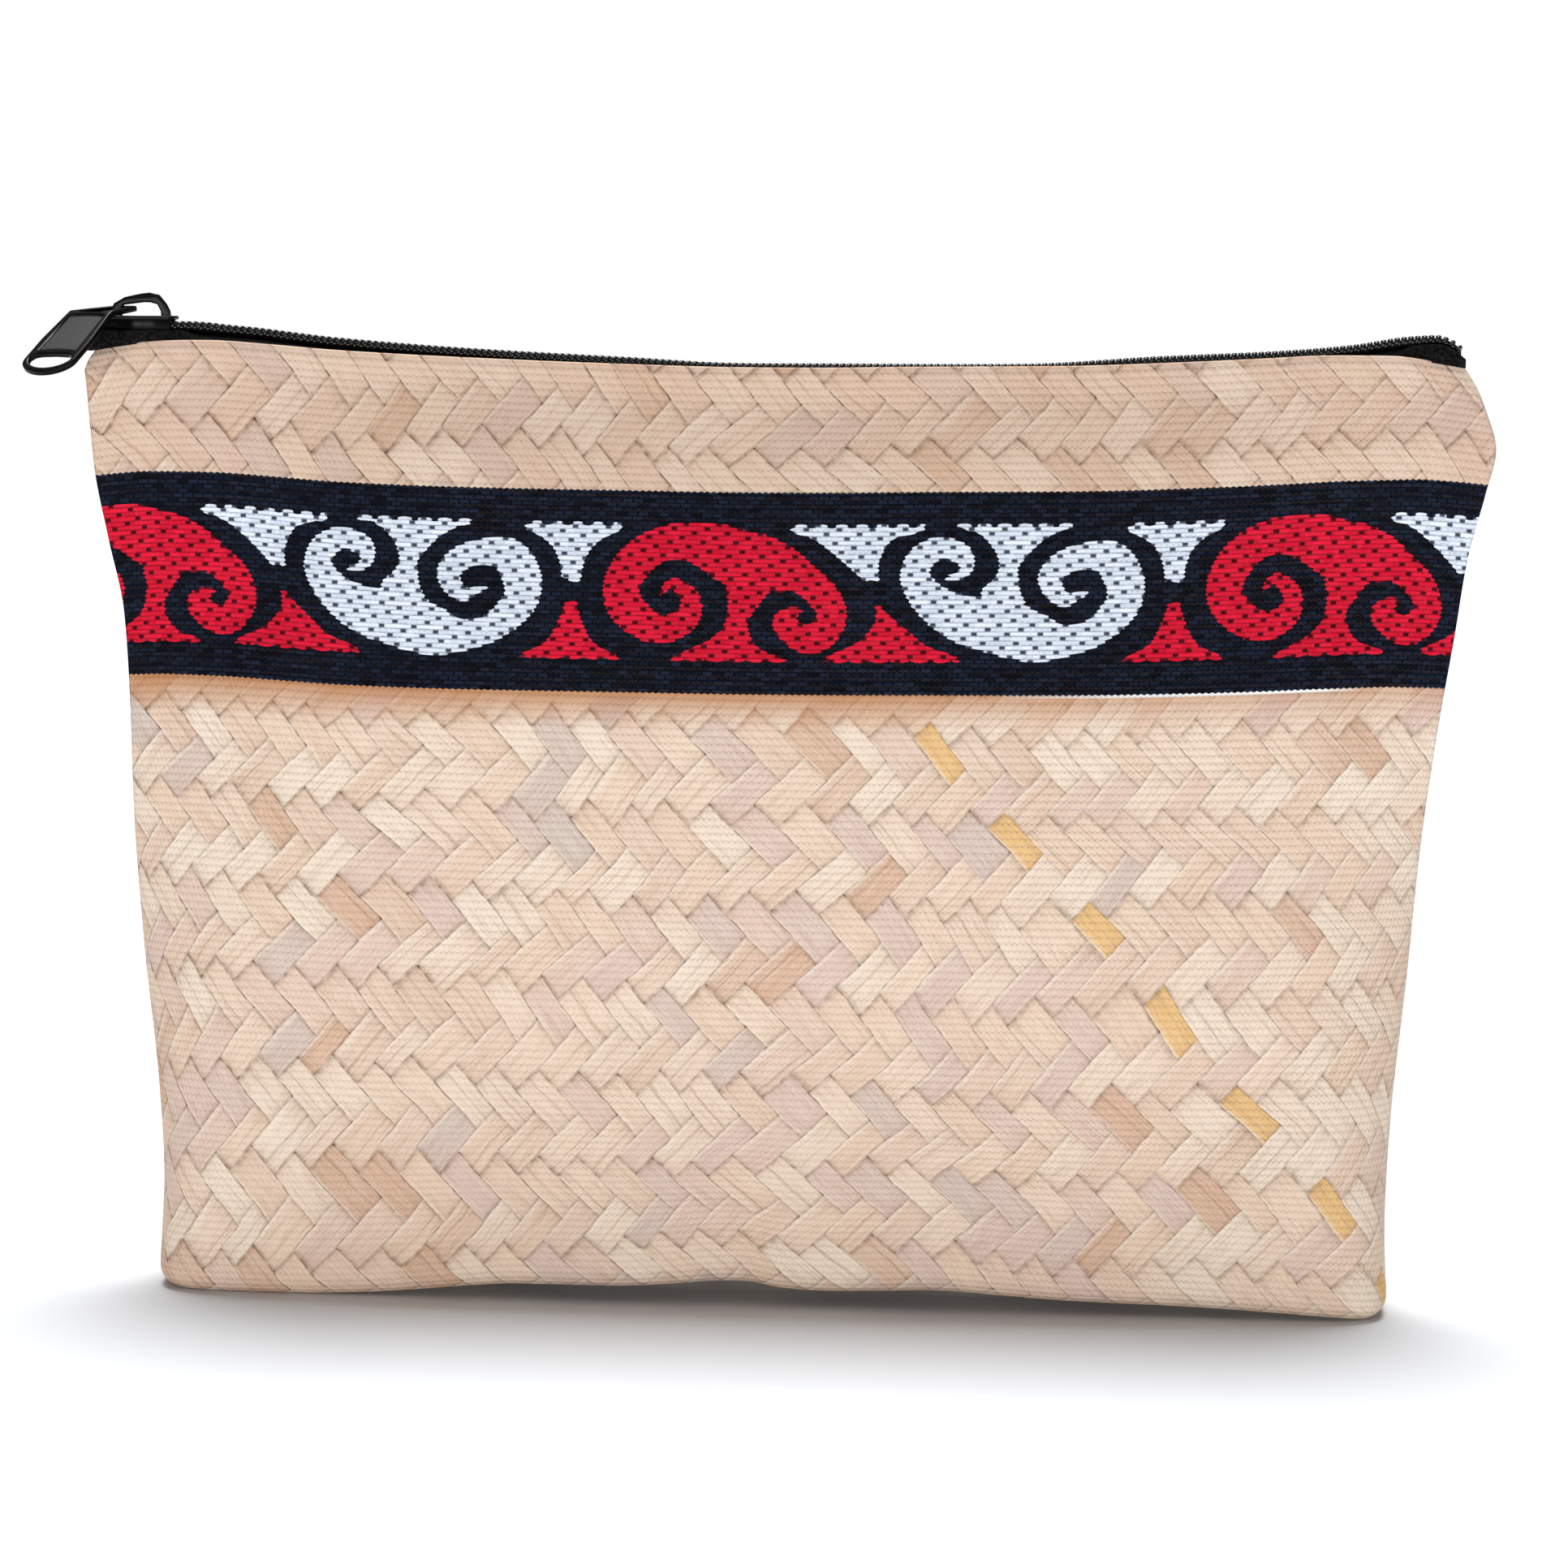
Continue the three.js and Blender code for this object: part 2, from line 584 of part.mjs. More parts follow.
// The pull in its own frame: the cross bar along X at the origin, the blade towards -Y.
function pullTab() {
  const head = new THREE.Shape();
  const [top, neck] = [pullHead / 2, pullNeck / 2];
  const bar = pullThickness / 2;
  const overlap = 1;
  head.moveTo(-neck, -pullSlot - overlap);
  head.lineTo(neck, -pullSlot - overlap);
  head.lineTo(neck, -pullSlot + 1);
  head.lineTo(top, -1);
  head.quadraticCurveTo(top, bar, top - 1.2, bar);
  head.lineTo(-top + 1.2, bar);
  head.quadraticCurveTo(-top, bar, -top, -1);
  head.lineTo(-neck, -pullSlot + 1);
  const slot = new THREE.Path();
  const slotTop = top - pullRim * 0.8;
  const slotFoot = neck - pullRim;
  slot.moveTo(-slotTop, -bar);
  slot.lineTo(-slotFoot, -pullSlot + 1.2);
  slot.quadraticCurveTo(-slotFoot, -pullSlot, -slotFoot + 1, -pullSlot);
  slot.lineTo(slotFoot - 1, -pullSlot);
  slot.quadraticCurveTo(slotFoot, -pullSlot, slotFoot, -pullSlot + 1.2);
  slot.lineTo(slotTop, -bar);
  head.holes.push(slot);

  const bladeLength = pullLength - pullSlot;
  const half = pullWidth / 2;
  const tip = 3.6; // length of the rounded end
  const blade = new THREE.Shape();
  blade.moveTo(-neck, 0);
  blade.lineTo(neck, 0);
  blade.lineTo(half, -bladeLength * 0.45);
  blade.lineTo(half, -bladeLength + tip);
  blade.absellipse(0, -bladeLength + tip, half, tip, 0, -Math.PI, true);
  blade.lineTo(-half, -bladeLength * 0.45);
  blade.lineTo(-neck, 0);
  const hole = new THREE.Path();
  const holeTop = -bladeLength + pullRim + holeLength;
  const holeHalf = half - pullRim * 0.8;
  hole.moveTo(-holeHalf + 0.8, holeTop);
  hole.quadraticCurveTo(-holeHalf, holeTop, -holeHalf, holeTop - 1);
  hole.absellipse(0, holeTop - 1, holeHalf, holeLength - 1, Math.PI, 2 * Math.PI, false);
  hole.quadraticCurveTo(holeHalf, holeTop, holeHalf - 0.8, holeTop);
  hole.lineTo(-holeHalf + 0.8, holeTop);
  blade.holes.push(hole);

  const recess = new THREE.Shape();
  const recessHalf = neck - recessMargin;
  recess.moveTo(-recessHalf, -recessMargin);
  recess.lineTo(recessHalf, -recessMargin);
  recess.lineTo(recessHalf, holeTop + recessMargin * 0.8);
  recess.lineTo(-recessHalf, holeTop + recessMargin * 0.8);
  recess.lineTo(-recessHalf, -recessMargin);

  const bend = bladeDroop - headDroop;
  const lower = toSolid(plate(blade, pullThickness)).subtract(
    toSolid(plate(recess, recessDepth * 2).translate(0, 0, pullThickness / 2)),
  );
  const bladePart = toGeometry(lower).rotateX(radians(bend)).translate(0, -pullSlot, 0);
  const joined = toSolid(plate(head, pullThickness * 0.98)).add(toSolid(bladePart));
  return toGeometry(joined).rotateX(radians(headDroop));
}

function named(name, geometry, material) {
  const mesh = new THREE.Mesh(geometry, material);
  mesh.name = name;
  return mesh;
}

const pouch = new THREE.Group();
const frontPanel = panel();
pouch.add(named('front_panel', frontPanel, printedCanvas));
pouch.add(named('back_panel', mirrored(frontPanel), printedCanvas));

const zip = new THREE.Group();
const frontTape = tape();
zip.add(named('zip_tape_front', frontTape, zipTape));
zip.add(named('zip_tape_back', mirrored(frontTape), zipTape));
zip.add(named('zip_coil', coil(), zipNylon));
pouch.add(zip);

const slider = new THREE.Group();
slider.position.set(sliderPlace, 0, zipCentre(sliderPlace));
slider.rotation.y = -sliderSlope;
slider.add(named('slider_body', sliderBody(), blackMetal));
const pull = named('pull_tab', pullTab(), blackMetal);
pull.position.set(crownLeft - pullAxis.y * barBehind, barBehind, barHeight);
pull.rotation.z = radians(pullTurn);
slider.add(pull);
pouch.add(slider);

// Centre the whole over the origin.
const extent = new THREE.Box3().setFromObject(pouch, true);
pouch.children.forEach((child) => {
  child.position.x -= (extent.min.x + extent.max.x) / 2;
});

export default pouch;
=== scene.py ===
"""A flat-topped zip pouch in printed canvas: its cloth, zip, slider and pull, dressed and lit.

Lengths are in millimetres until a mesh is made, in metres. X runs along the zip, from the middle of
the pouch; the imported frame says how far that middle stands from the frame's own.
"""
import logging
import math
from dataclasses import dataclass
from enum import Enum

import bmesh
import bpy
import numpy as np
from mathutils import Matrix, Vector


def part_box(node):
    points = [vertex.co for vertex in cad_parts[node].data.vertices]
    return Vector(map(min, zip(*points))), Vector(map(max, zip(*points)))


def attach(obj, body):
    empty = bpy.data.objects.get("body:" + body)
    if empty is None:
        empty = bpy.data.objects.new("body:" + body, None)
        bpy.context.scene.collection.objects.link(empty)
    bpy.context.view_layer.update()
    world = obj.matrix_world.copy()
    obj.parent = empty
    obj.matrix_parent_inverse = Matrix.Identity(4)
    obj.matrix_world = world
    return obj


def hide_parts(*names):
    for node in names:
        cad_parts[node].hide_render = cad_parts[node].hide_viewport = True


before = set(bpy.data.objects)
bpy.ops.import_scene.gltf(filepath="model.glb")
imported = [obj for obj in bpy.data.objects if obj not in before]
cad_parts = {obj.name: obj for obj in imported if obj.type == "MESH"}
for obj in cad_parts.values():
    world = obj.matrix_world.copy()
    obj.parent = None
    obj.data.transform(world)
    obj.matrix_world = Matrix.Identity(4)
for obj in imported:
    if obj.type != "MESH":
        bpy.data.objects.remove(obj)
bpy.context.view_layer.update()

MM = 0.001
log = logging.getLogger("pouch")


class Side(Enum):
    """Which side of the zip a piece is on: 1 keeps the front's shape, and -1 turns it to the back."""

    FRONT = 1
    BACK = -1


# Helpers


def linear(colour: str) -> tuple[float, float, float, float]:
    """Turns an sRGB hex colour into a linear one.

    Args:
        colour: Six hex digits after a hash sign.
    Returns:
        Linear red, green and blue, and an alpha of 1.
    """
    parts = [int(colour[k : k + 2], 16) / 255 for k in (1, 3, 5)]
    return (*[c / 12.92 if c <= 0.04045 else ((c + 0.055) / 1.055) ** 2.4 for c in parts], 1.0)


def smooth(value: np.ndarray | float, low: float, high: float) -> np.ndarray | float:
    """Eases from 0 at low to 1 at high."""
    t = np.clip((value - low) / (high - low), 0, 1)
    return t * t * (3 - 2 * t)


def read_table(rows: tuple, place: np.ndarray | float) -> np.ndarray | float:
    """Reads a table of (place, value) rows smoothly, without overshoot between its rows.

    Args:
        rows: Pairs in rising order of place.
        place: Where to read.
    Returns:
        The values there, shaped as place.
    """
    at, value = np.array(rows, float).T
    span = np.diff(at)
    slope = np.diff(value) / span
    tangent = np.concatenate(([slope[0]], np.zeros(len(slope) - 1), [slope[-1]]))
    before, after = slope[:-1], slope[1:]
    same = before * after > 0
    tangent[1:-1][same] = (2 * before * after)[same] / (before + after)[same]
    where = np.clip(place, at[0], at[-1])
    k = np.clip(np.searchsorted(at, where, side="right") - 1, 0, len(span) - 1)
    t = (where - at[k]) / span[k]
    return (
        value[k] * (1 + 2 * t) * (1 - t) ** 2
        + tangent[k] * span[k] * t * (1 - t) ** 2
        + value[k + 1] * t * t * (3 - 2 * t)
        + tangent[k + 1] * span[k] * t * t * (t - 1)
    )


def spaced(line: np.ndarray, steps: int) -> np.ndarray:
    """Gives points at equal distances along a line of many short steps.

    Args:
        line: Points in order, one to a row.
        steps: How many equal steps to take.
    Returns:
        The new points, one more than the steps.
    """
    reached = np.concatenate(([0], np.cumsum(np.linalg.norm(np.diff(line, axis=0), axis=1))))
    targets = np.linspace(0, reached[-1], steps + 1)
    return np.stack([np.interp(targets, reached, column) for column in line.T], 1)


def curve_through(points: np.ndarray, steps: int) -> np.ndarray:
    """Draws a smooth curve through points.

    Args:
        points: The points in order, one to a row.
        steps: How many steps to take between two of them.
    Returns:
        The curve's points.
    """
    whole = np.concatenate([2 * points[:1] - points[1:2], points, 2 * points[-1:] - points[-2:-1]])
    t = np.linspace(0, 1, steps, endpoint=False)[:, None]
    parts = []
    for before, start, end, after in zip(whole[:-3], whole[1:-2], whole[2:-1], whole[3:]):
        leaving, arriving = (end - before) / 2, (after - start) / 2
        parts.append(
            start * (1 + 2 * t) * (1 - t) ** 2 + leaving * t * (1 - t) ** 2
            + end * t * t * (3 - 2 * t) + arriving * t * t * (t - 1)
        )
    return np.concatenate([*parts, points[-1:]])


def skin(rows: np.ndarray, wrap: bool = False, maps: dict | None = None) -> bmesh.types.BMesh:
    """Skins a body over rows of points, by shaping a grid.

    Args:
        rows: Points, as rows by columns by three, in millimetres.
        wrap: Whether the last row joins the first, which closes the body; its ends are then filled.
        maps: Values at the points. "uv" is a pair for each, and any other name a single number.
    Returns:
        The bmesh, with its normals outwards.
    """
    maps = dict(maps or {})
    if wrap:
        rows = np.concatenate([rows, rows[:1]])
        maps = {name: np.concatenate([value, value[-1:]]) for name, value in maps.items()}
    high, wide = rows.shape[:2]
    bm = bmesh.new()
    bmesh.ops.create_grid(bm, x_segments=wide - 1, y_segments=high - 1, size=0.5)
    bm.verts.ensure_lookup_table()
    for vertex, point in zip(bm.verts, rows.reshape(-1, 3)):
        vertex.co = point
    pairs = maps.pop("uv", None)
    if pairs is not None:
        layer = bm.loops.layers.uv.new("UVMap")
        flat = pairs.reshape(-1, 2)
        for face in bm.faces:
            for loop in face.loops:
                loop[layer].uv = flat[loop.vert.index]
    for name, value in maps.items():
        layer = bm.verts.layers.float.new(name)
        for vertex, number in zip(bm.verts, value.ravel()):
            vertex[layer] = number
    if wrap:
        bmesh.ops.remove_doubles(bm, verts=bm.verts, dist=0.002)
        open_edges = [edge for edge in bm.edges if edge.is_boundary]
        bmesh.ops.holes_fill(bm, edges=open_edges, sides=0)
        bmesh.ops.recalc_face_normals(bm, faces=bm.faces)
    return bm


def finish_piece(name: str, bm: bmesh.types.BMesh, material: bpy.types.Material) -> bpy.types.Object:
    """Makes an object of a bmesh that is in millimetres, and frees the bmesh.

    Args:
        name: The object's name.
        bm: The shape.
        material: What it is made of.
    Returns:
        The new object, at the origin.
    """
    bmesh.ops.transform(bm, matrix=Matrix.Scale(MM, 4), verts=bm.verts)
    for face in bm.faces:
        face.smooth = True
    mesh = bpy.data.meshes.new(name)
    bm.to_mesh(mesh)
    bm.free()
    mesh.materials.append(material)
    piece = bpy.data.objects.new(name, mesh)
    bpy.context.scene.collection.objects.link(piece)
    return piece


def plate(outlines: list, thickness: float, bevel: float) -> bmesh.types.BMesh:
    """Makes a bevelled plate of a flat curve, the first outline round it and the others its holes.

    Args:
        outlines: Lists of points in the plate's plane, in millimetres.
        thickness: The plate's thickness, half of it on each side of the plane.
        bevel: Radius of its rounded edges.
    Returns:
        The plate as a bmesh in the XY plane.
    """
    curve = bpy.data.curves.new("plate", "CURVE")
    curve.dimensions = "2D"
    curve.fill_mode = "BOTH"
    curve.extrude = thickness / 2 - bevel
    curve.bevel_depth = bevel
    curve.bevel_resolution = 2
    curve.offset = -bevel
    for outline in outlines:
        spline = curve.splines.new("POLY")
        spline.points.add(len(outline) - 1)
        for point, (x, y) in zip(spline.points, outline):
            point.co = (x, y, 0, 1)
        spline.use_cyclic_u = True
    flat = bpy.data.objects.new("plate", curve)
    bm = bmesh.new()
    bm.from_mesh(flat.to_mesh())
    flat.to_mesh_clear()
    bpy.data.objects.remove(flat)
    bpy.data.curves.remove(curve)
    bmesh.ops.remove_doubles(bm, verts=bm.verts, dist=0.002)
    bmesh.ops.recalc_face_normals(bm, faces=bm.faces)
    return bm


def arc(centre: tuple, radii: tuple, start: float, end: float, steps: int) -> list:
    """Gives points on a part of an ellipse.

    Args:
        centre: Its middle.
        radii: Its half width and half height.
        start: Where the arc begins, in degrees.
        end: Where it ends.
        steps: How many steps it takes.
    Returns:
        The points, as pairs.
    """
    turns = np.radians(np.linspace(start, end, steps + 1))
    return [(centre[0] + radii[0] * math.cos(t), centre[1] + radii[1] * math.sin(t)) for t in turns]


def merge(into: bmesh.types.BMesh, other: bmesh.types.BMesh, place: Matrix | None = None) -> None:
    """Adds another bmesh, moved to its place, to the first, and frees the other.

    Args:
        into: The bmesh that grows.
        other: The one that is added.
        place: Where it goes.
    """
    if place is not None:
        bmesh.ops.transform(other, matrix=place, verts=other.verts)
    mesh = bpy.data.meshes.new("part")
    other.to_mesh(mesh)
    other.free()
    into.from_mesh(mesh)
    bpy.data.meshes.remove(mesh)


# The pouch's form


@dataclass(frozen=True)
class Section:
    """One horizontal section of the pouch, as shares of half its width and half its belly."""

    up: float
    left: float
    right: float
    depth: float
    plan: float  # how square its face is
    edge: float  # how square its ends are
    ply: float  # 1 where the two cloths lie flat together at the side seam


@dataclass(frozen=True)
class Dent:
    """A soft dent or fullness: its middle, its spread, its push outwards and its lean."""

    across: float
    up: float
    wide: float
    tall: float
    push: float
    lean: float


@dataclass(frozen=True)
class PouchForm:
    """The pouch's cloth: its sections from base to rim, and the lines of its rim and base fold."""

    width: float = 240
    rim_height: float = 159.5
    rim_rise: float = 3.9
    belly: float = 44
    mouth_half: float = 5.9
    cloth: float = 1.4
    base_fold: float = 3.8
    base_lift: float = 3.9
    base_arch: float = 0.8  # how much of the fold's lift is left under the middle of the base
    lift_reach: float = 42
    seam_gap: float = 0.3
    base_print: float = 0.43  # half the base's depth on the print, as a share of the belly
    rim_crown: float = 0.25
    sections: tuple = (
        Section(0.0, 0.878, 0.887, 0.88, 24, 4.0, 0),
        Section(0.1, 0.876, 0.881, 0.94, 15, 3.0, 0),
        Section(0.2, 0.887, 0.886, 0.99, 9, 2.2, 0.1),
        Section(0.36, 0.914, 0.904, 1.0, 5.5, 1.6, 0.45),
        Section(0.5, 0.93, 0.918, 0.93, 4, 1.3, 0.8),
        Section(0.62, 0.937, 0.937, 0.82, 3.5, 1.15, 1),
        Section(0.72, 0.947, 0.957, 0.7, 3.3, 1.05, 1),
        Section(0.8, 0.971, 0.972, 0.58, 3.3, 1, 1),
        Section(0.87, 0.991, 0.995, 0.46, 4, 1, 1),
        Section(0.915, 0.998, 1.008, 0.39, 5.5, 1, 1),
        Section(0.96, 1.004, 0.99, 0.32, 9, 1, 1),
        Section(0.98, 1.007, 0.978, 0.29, 12, 1, 1),
        Section(1.0, 0.992, 0.96, 0.27, 14, 1, 1),
    )
    rim_line: tuple = (
        (-1, 0.2), (-0.96, 0.42), (-0.92, 0.58), (-0.82, 0.68), (-0.73, 0.54), (-0.64, 0.36),
        (-0.45, 0.15), (-0.22, 0), (-0.08, -0.05), (0.06, 0), (0.2, 0.12), (0.43, 0.3),
        (0.61, 0.59), (0.71, 0.79), (0.8, 0.97), (0.89, 1), (0.94, 0.86), (1, 0.6),
    )
    fold_wave: tuple = (
        (-0.65, 0), (-0.56, 0.13), (-0.49, 0.32), (-0.41, 0.57), (-0.36, 0.67), (-0.22, 0.69),
        (-0.14, 0.84), (-0.08, 0.98), (-0.03, 1), (0.02, 0.8), (0.08, 0.73), (0.16, 0.8),
        (0.24, 0.88), (0.33, 0.74), (0.42, 0.59), (0.6, 0.46), (0.7, 0.33), (0.8, 0.15), (0.88, 0),
    )
    dents: tuple = (
        Dent(-0.8, 0.77, 0.07, 0.11, -0.09, 0.5),
        Dent(0.8, 0.77, 0.07, 0.11, -0.09, -0.5),
        Dent(-0.66, 0.24, 0.05, 0.16, -0.06, -0.6),
        Dent(0.68, 0.22, 0.05, 0.15, -0.06, 0.6),
        Dent(-0.05, 0.03, 0.05, 0.1, -0.08, 0),
        Dent(0.42, 0.9, 0.2, 0.07, 0.05, 0),
        Dent(-0.4, 0.9, 0.2, 0.07, 0.05, 0),
    )
    columns: int = 400

    def read(self, key: str, up: float) -> float:
        """Reads one column of the sections' table at a share of the height."""
        return float(read_table(tuple((row.up, getattr(row, key)) for row in self.sections), up))

    def across(self) -> np.ndarray:
        """Gives each column's place, from -1 at the left seam to 1 at the right one."""
        return np.linspace(-1, 1, self.columns + 1)

    def section_line(self, up: float) -> np.ndarray:
        """Draws half of a horizontal section, from the left seam round the face to the right one.

        Args:
            up: The section's share of the height.
        Returns:
            A point for each column.
        """
        up = min(max(up, 0), 1)
        plan, edge = self.read("plan", up), self.read("edge", up)
        full = self.read("depth", up) * self.belly / 2
        depth = full + (self.mouth_half - full) * smooth(up, 0.9, 1)
        seam = self.seam_gap / 2 + self.cloth * self.read("ply", up)
        turn = np.cos(np.linspace(0, math.pi, 1201))
        half = np.where(turn > 0, -self.read("left", up), self.read("right", up)) * self.width / 2
        x = np.abs(turn) ** (2 / plan)
        y = np.clip(1 - x**plan, 0, None) ** (1 / edge)
        return spaced(np.stack([half * x, -seam - (depth - seam) * y], 1), self.columns)

    def dent_at(self, up: float) -> np.ndarray:
        """Adds up every dent's push at one height.

        Args:
            up: The share of the height.
        Returns:
            The push outwards for each column.
        """
        across = self.across()
        total = np.zeros(len(across))
        for dent in self.dents:
            side = (across - dent.across - dent.lean * (up - dent.up)) / dent.wide
            height = (up - dent.up) / dent.tall
            total += dent.push * self.belly / 2 * np.exp(-side * side - height * height)
        return total * (1 - np.abs(across) ** 8)

    def rim_at(self, across: np.ndarray | float) -> np.ndarray | float:
        """Gives the height of the cloth's top edge."""
        return self.rim_height + self.rim_rise * read_table(self.rim_line, across)

    def face_row(self, height: float, inset: float, thickness: float) -> np.ndarray:
        """Gives one row of points round the face.

        Args:
            height: The row's height above the floor, before the fold's lift.
            inset: How far inside the outline it lies.
            thickness: 0 on the cloth's outer face, and the cloth's own on its inner one.
        Returns:
            A point for each column.
        """
        up = height / self.rim_height
        line = self.section_line(up)
        ahead = np.concatenate([line[1:], line[-1:]]) - np.concatenate([line[:1], line[:-1]])
        ahead /= np.linalg.norm(ahead, axis=1)[:, None]
        inwards = np.stack([-ahead[:, 1], ahead[:, 0]], 1)
        moved = line + inwards * (inset + thickness - self.dent_at(up))[:, None]
        moved[:, 1] = np.minimum(moved[:, 1], -self.seam_gap / 2)
        across = self.across()
        lift = self.base_lift * read_table(self.fold_wave, across) * (1 - smooth(height, 0, self.lift_reach))
        stretch = self.rim_at(across) / self.rim_height
        z = height * (1 + (stretch - 1) * up) + lift
        return np.column_stack([moved, z])

    def wall(self, thickness: float, levels: np.ndarray, angles: np.ndarray, shares: tuple) -> tuple:
        """Gives all rows of one face of a panel, from the seam under the base to the rim.

        Args:
            thickness: 0 for the outer face, and the cloth's own for the inner one.
            levels: Heights of the rows above the fold.
            angles: Degrees of the rows round the fold.
            shares: Places of the rows under the base, from the seam to the fold.
        Returns:
            The rows of points, and each row's height on the print.
        """
        radius = self.base_fold - thickness
        turns = np.radians(angles)
        rows = [
            self.face_row(thickness + radius * (1 - math.cos(t)), radius * (1 - math.sin(t)), thickness)
            for t in turns
        ]
        foot = rows[0]
        seam_half = self.sections[0].left * self.width / 2 - 2 * self.base_fold
        seam = np.column_stack([self.across() * seam_half, np.full(len(foot), -self.seam_gap / 2)])
        lift = self.base_lift * read_table(self.fold_wave, self.across())
        under = []
        for share in shares:
            flat = seam + (foot[:, :2] - seam) * share
            arch = lift * (self.base_arch + (1 - self.base_arch) * share)
            under.append(np.column_stack([flat, thickness + arch]))
        heights = [self.base_fold - self.base_fold * (math.pi / 2 - t) for t in turns]
        base = [heights[0] - (1 - share) * self.belly * self.base_print for share in shares]
        rows = under + rows + [self.face_row(level, 0, thickness) for level in levels]
        return np.array(rows), np.array([*base, *heights, *levels])


@dataclass(frozen=True)
class ZipLine:
    """The zip's course along the mouth."""

    form: PouchForm
    rise: float = 7.5
    sink: float = 0.5
    slider_place: float = -114
    slider_length: float = 17.5
    post_length: float = 2.4
    fit_gap: float = 0.2
    course: tuple = (
        (-1.04, 0.72), (-0.96, 0.74), (-0.88, 0.76), (-0.79, 0.68), (-0.65, 0.46), (-0.46, 0.28),
        (-0.22, 0.14), (-0.08, 0.06), (0.06, 0.09), (0.35, 0.17), (0.55, 0.4), (0.732, 0.58),
        (0.834, 0.74), (0.92, 0.96), (0.961, 1), (0.981, 0.9), (1, 0.68),
    )

    @property
    def mouth_right(self) -> float:
        """Half the mouth, to the right of the middle."""
        return self.form.sections[-1].right * self.form.width / 2

    @property
    def mouth_left(self) -> float:
        """Half the mouth, to the left of the middle."""
        return self.form.sections[-1].left * self.form.width / 2

    @property
    def start(self) -> float:
        """Where the teeth begin, inside the slider."""
        return self.slider_place - self.slider_length / 2 + self.post_length + 2 * self.fit_gap

    @property
    def end(self) -> float:
        """Where the teeth end, at the right."""
        return self.mouth_right

    def height(self, x: np.ndarray) -> np.ndarray:
        """Reads the course's height, free of the slider.

        Args:
            x: Places along the zip.
        Returns:
            The heights there.
        """
        x = np.asarray(x, float)
        along = x / np.where(x < 0, self.mouth_left, self.mouth_right)
        return self.form.rim_height - self.sink + self.rise * read_table(self.course, along)

    @property
    def slope(self) -> float:
        """The slider's slope, in radians."""
        half = self.slider_length / 2
        ends = self.height(np.array([self.slider_place - half, self.slider_place + half]))
        return math.atan2(ends[1] - ends[0], self.slider_length)

    def centre(self, x: np.ndarray | float) -> np.ndarray:
        """Gives the height of the teeth's middle, straight inside the slider.

        Args:
            x: Places along the zip.
        Returns:
            The heights there.
        """
        x = np.asarray(x, float)
        half = self.slider_length / 2
        tan = math.tan(self.slope)
        straight = self.height(np.array(self.slider_place - half)) + (half + x - self.slider_place) * tan
        leaving = smooth(x, self.slider_place + half, self.slider_place + 2 * half)
        return straight + (self.height(x) - straight) * leaving


# Finishes

# What a step adds besides plain arithmetic: its node, settings, input sockets and output socket.
STEPS = {
    "MIX": ("ShaderNodeMix", {"data_type": "RGBA"}, (0, 6, 7), 2),
    "PICK": ("ShaderNodeMix", {"data_type": "FLOAT"}, (0, 2, 3), 0),
    "RAMP": ("ShaderNodeMath", {"operation": "MULTIPLY_ADD", "use_clamp": True}, (0, 1, 2), 0),
}


class Recipe:
    """One material's nodes, with its signals kept by name."""

    def __init__(self, name: str) -> None:
        """Starts an empty material.

        Args:
            name: What the material is.
        """
        self.material = bpy.data.materials.new(name)
        self.material.use_nodes = True
        self.tree = self.material.node_tree
        self.tree.nodes.clear()
        self.signals: dict = {}

    def add(self, kind: str, settings: dict, inputs: dict, keep: dict | None = None) -> bpy.types.Node:
        """Adds a node, with its settings and links.

        Args:
            kind: Blender's name for the node.
            settings: Attribute names and their values.
            inputs: Socket names or numbers, each with a value, a hex colour or a kept signal's name.
            keep: Output sockets to keep, each with a signal's name.
        Returns:
            The node.
        """
        node = self.tree.nodes.new(kind)
        for key, value in settings.items():
            setattr(node, key, value)
        for key, value in inputs.items():
            if value in self.signals:
                self.tree.links.new(self.signals[value], node.inputs[key])
            else:
                node.inputs[key].default_value = linear(value) if isinstance(value, str) else value
        for key, name in (keep or {}).items():
            self.signals[name] = node.outputs[key]
        return node

    def work_out(self, steps: tuple) -> None:
        """Works through a table of steps.

        MIX lays one colour over another by a share, and PICK does so with numbers. RAMP climbs from 0
        at one value to 1 at the next. Any other step is arithmetic.

        Args:
            steps: Rows of a new signal's name, a step and its inputs.
        """
        for name, step, *values in steps:
            plain = ("ShaderNodeMath", {"operation": step}, (0, 1, 2), 0)
            kind, settings, sockets, result = STEPS.get(step, plain)
            if step == "RAMP":
                value, low, high = values
                values = (value, 1 / (high - low), -low / (high - low))
            self.add(kind, settings, dict(zip(sockets, values)), {result: name})

    def surface(self, settings: dict) -> bpy.types.Material:
        """Closes the material with a principled surface.

        Args:
            settings: The surface's inputs, as values or signals.
        Returns:
            The material.
        """
        self.add("ShaderNodeBsdfPrincipled", {}, settings, {0: "surface"})
        self.add("ShaderNodeOutputMaterial", {}, {"Surface": "surface"})
        return self.material


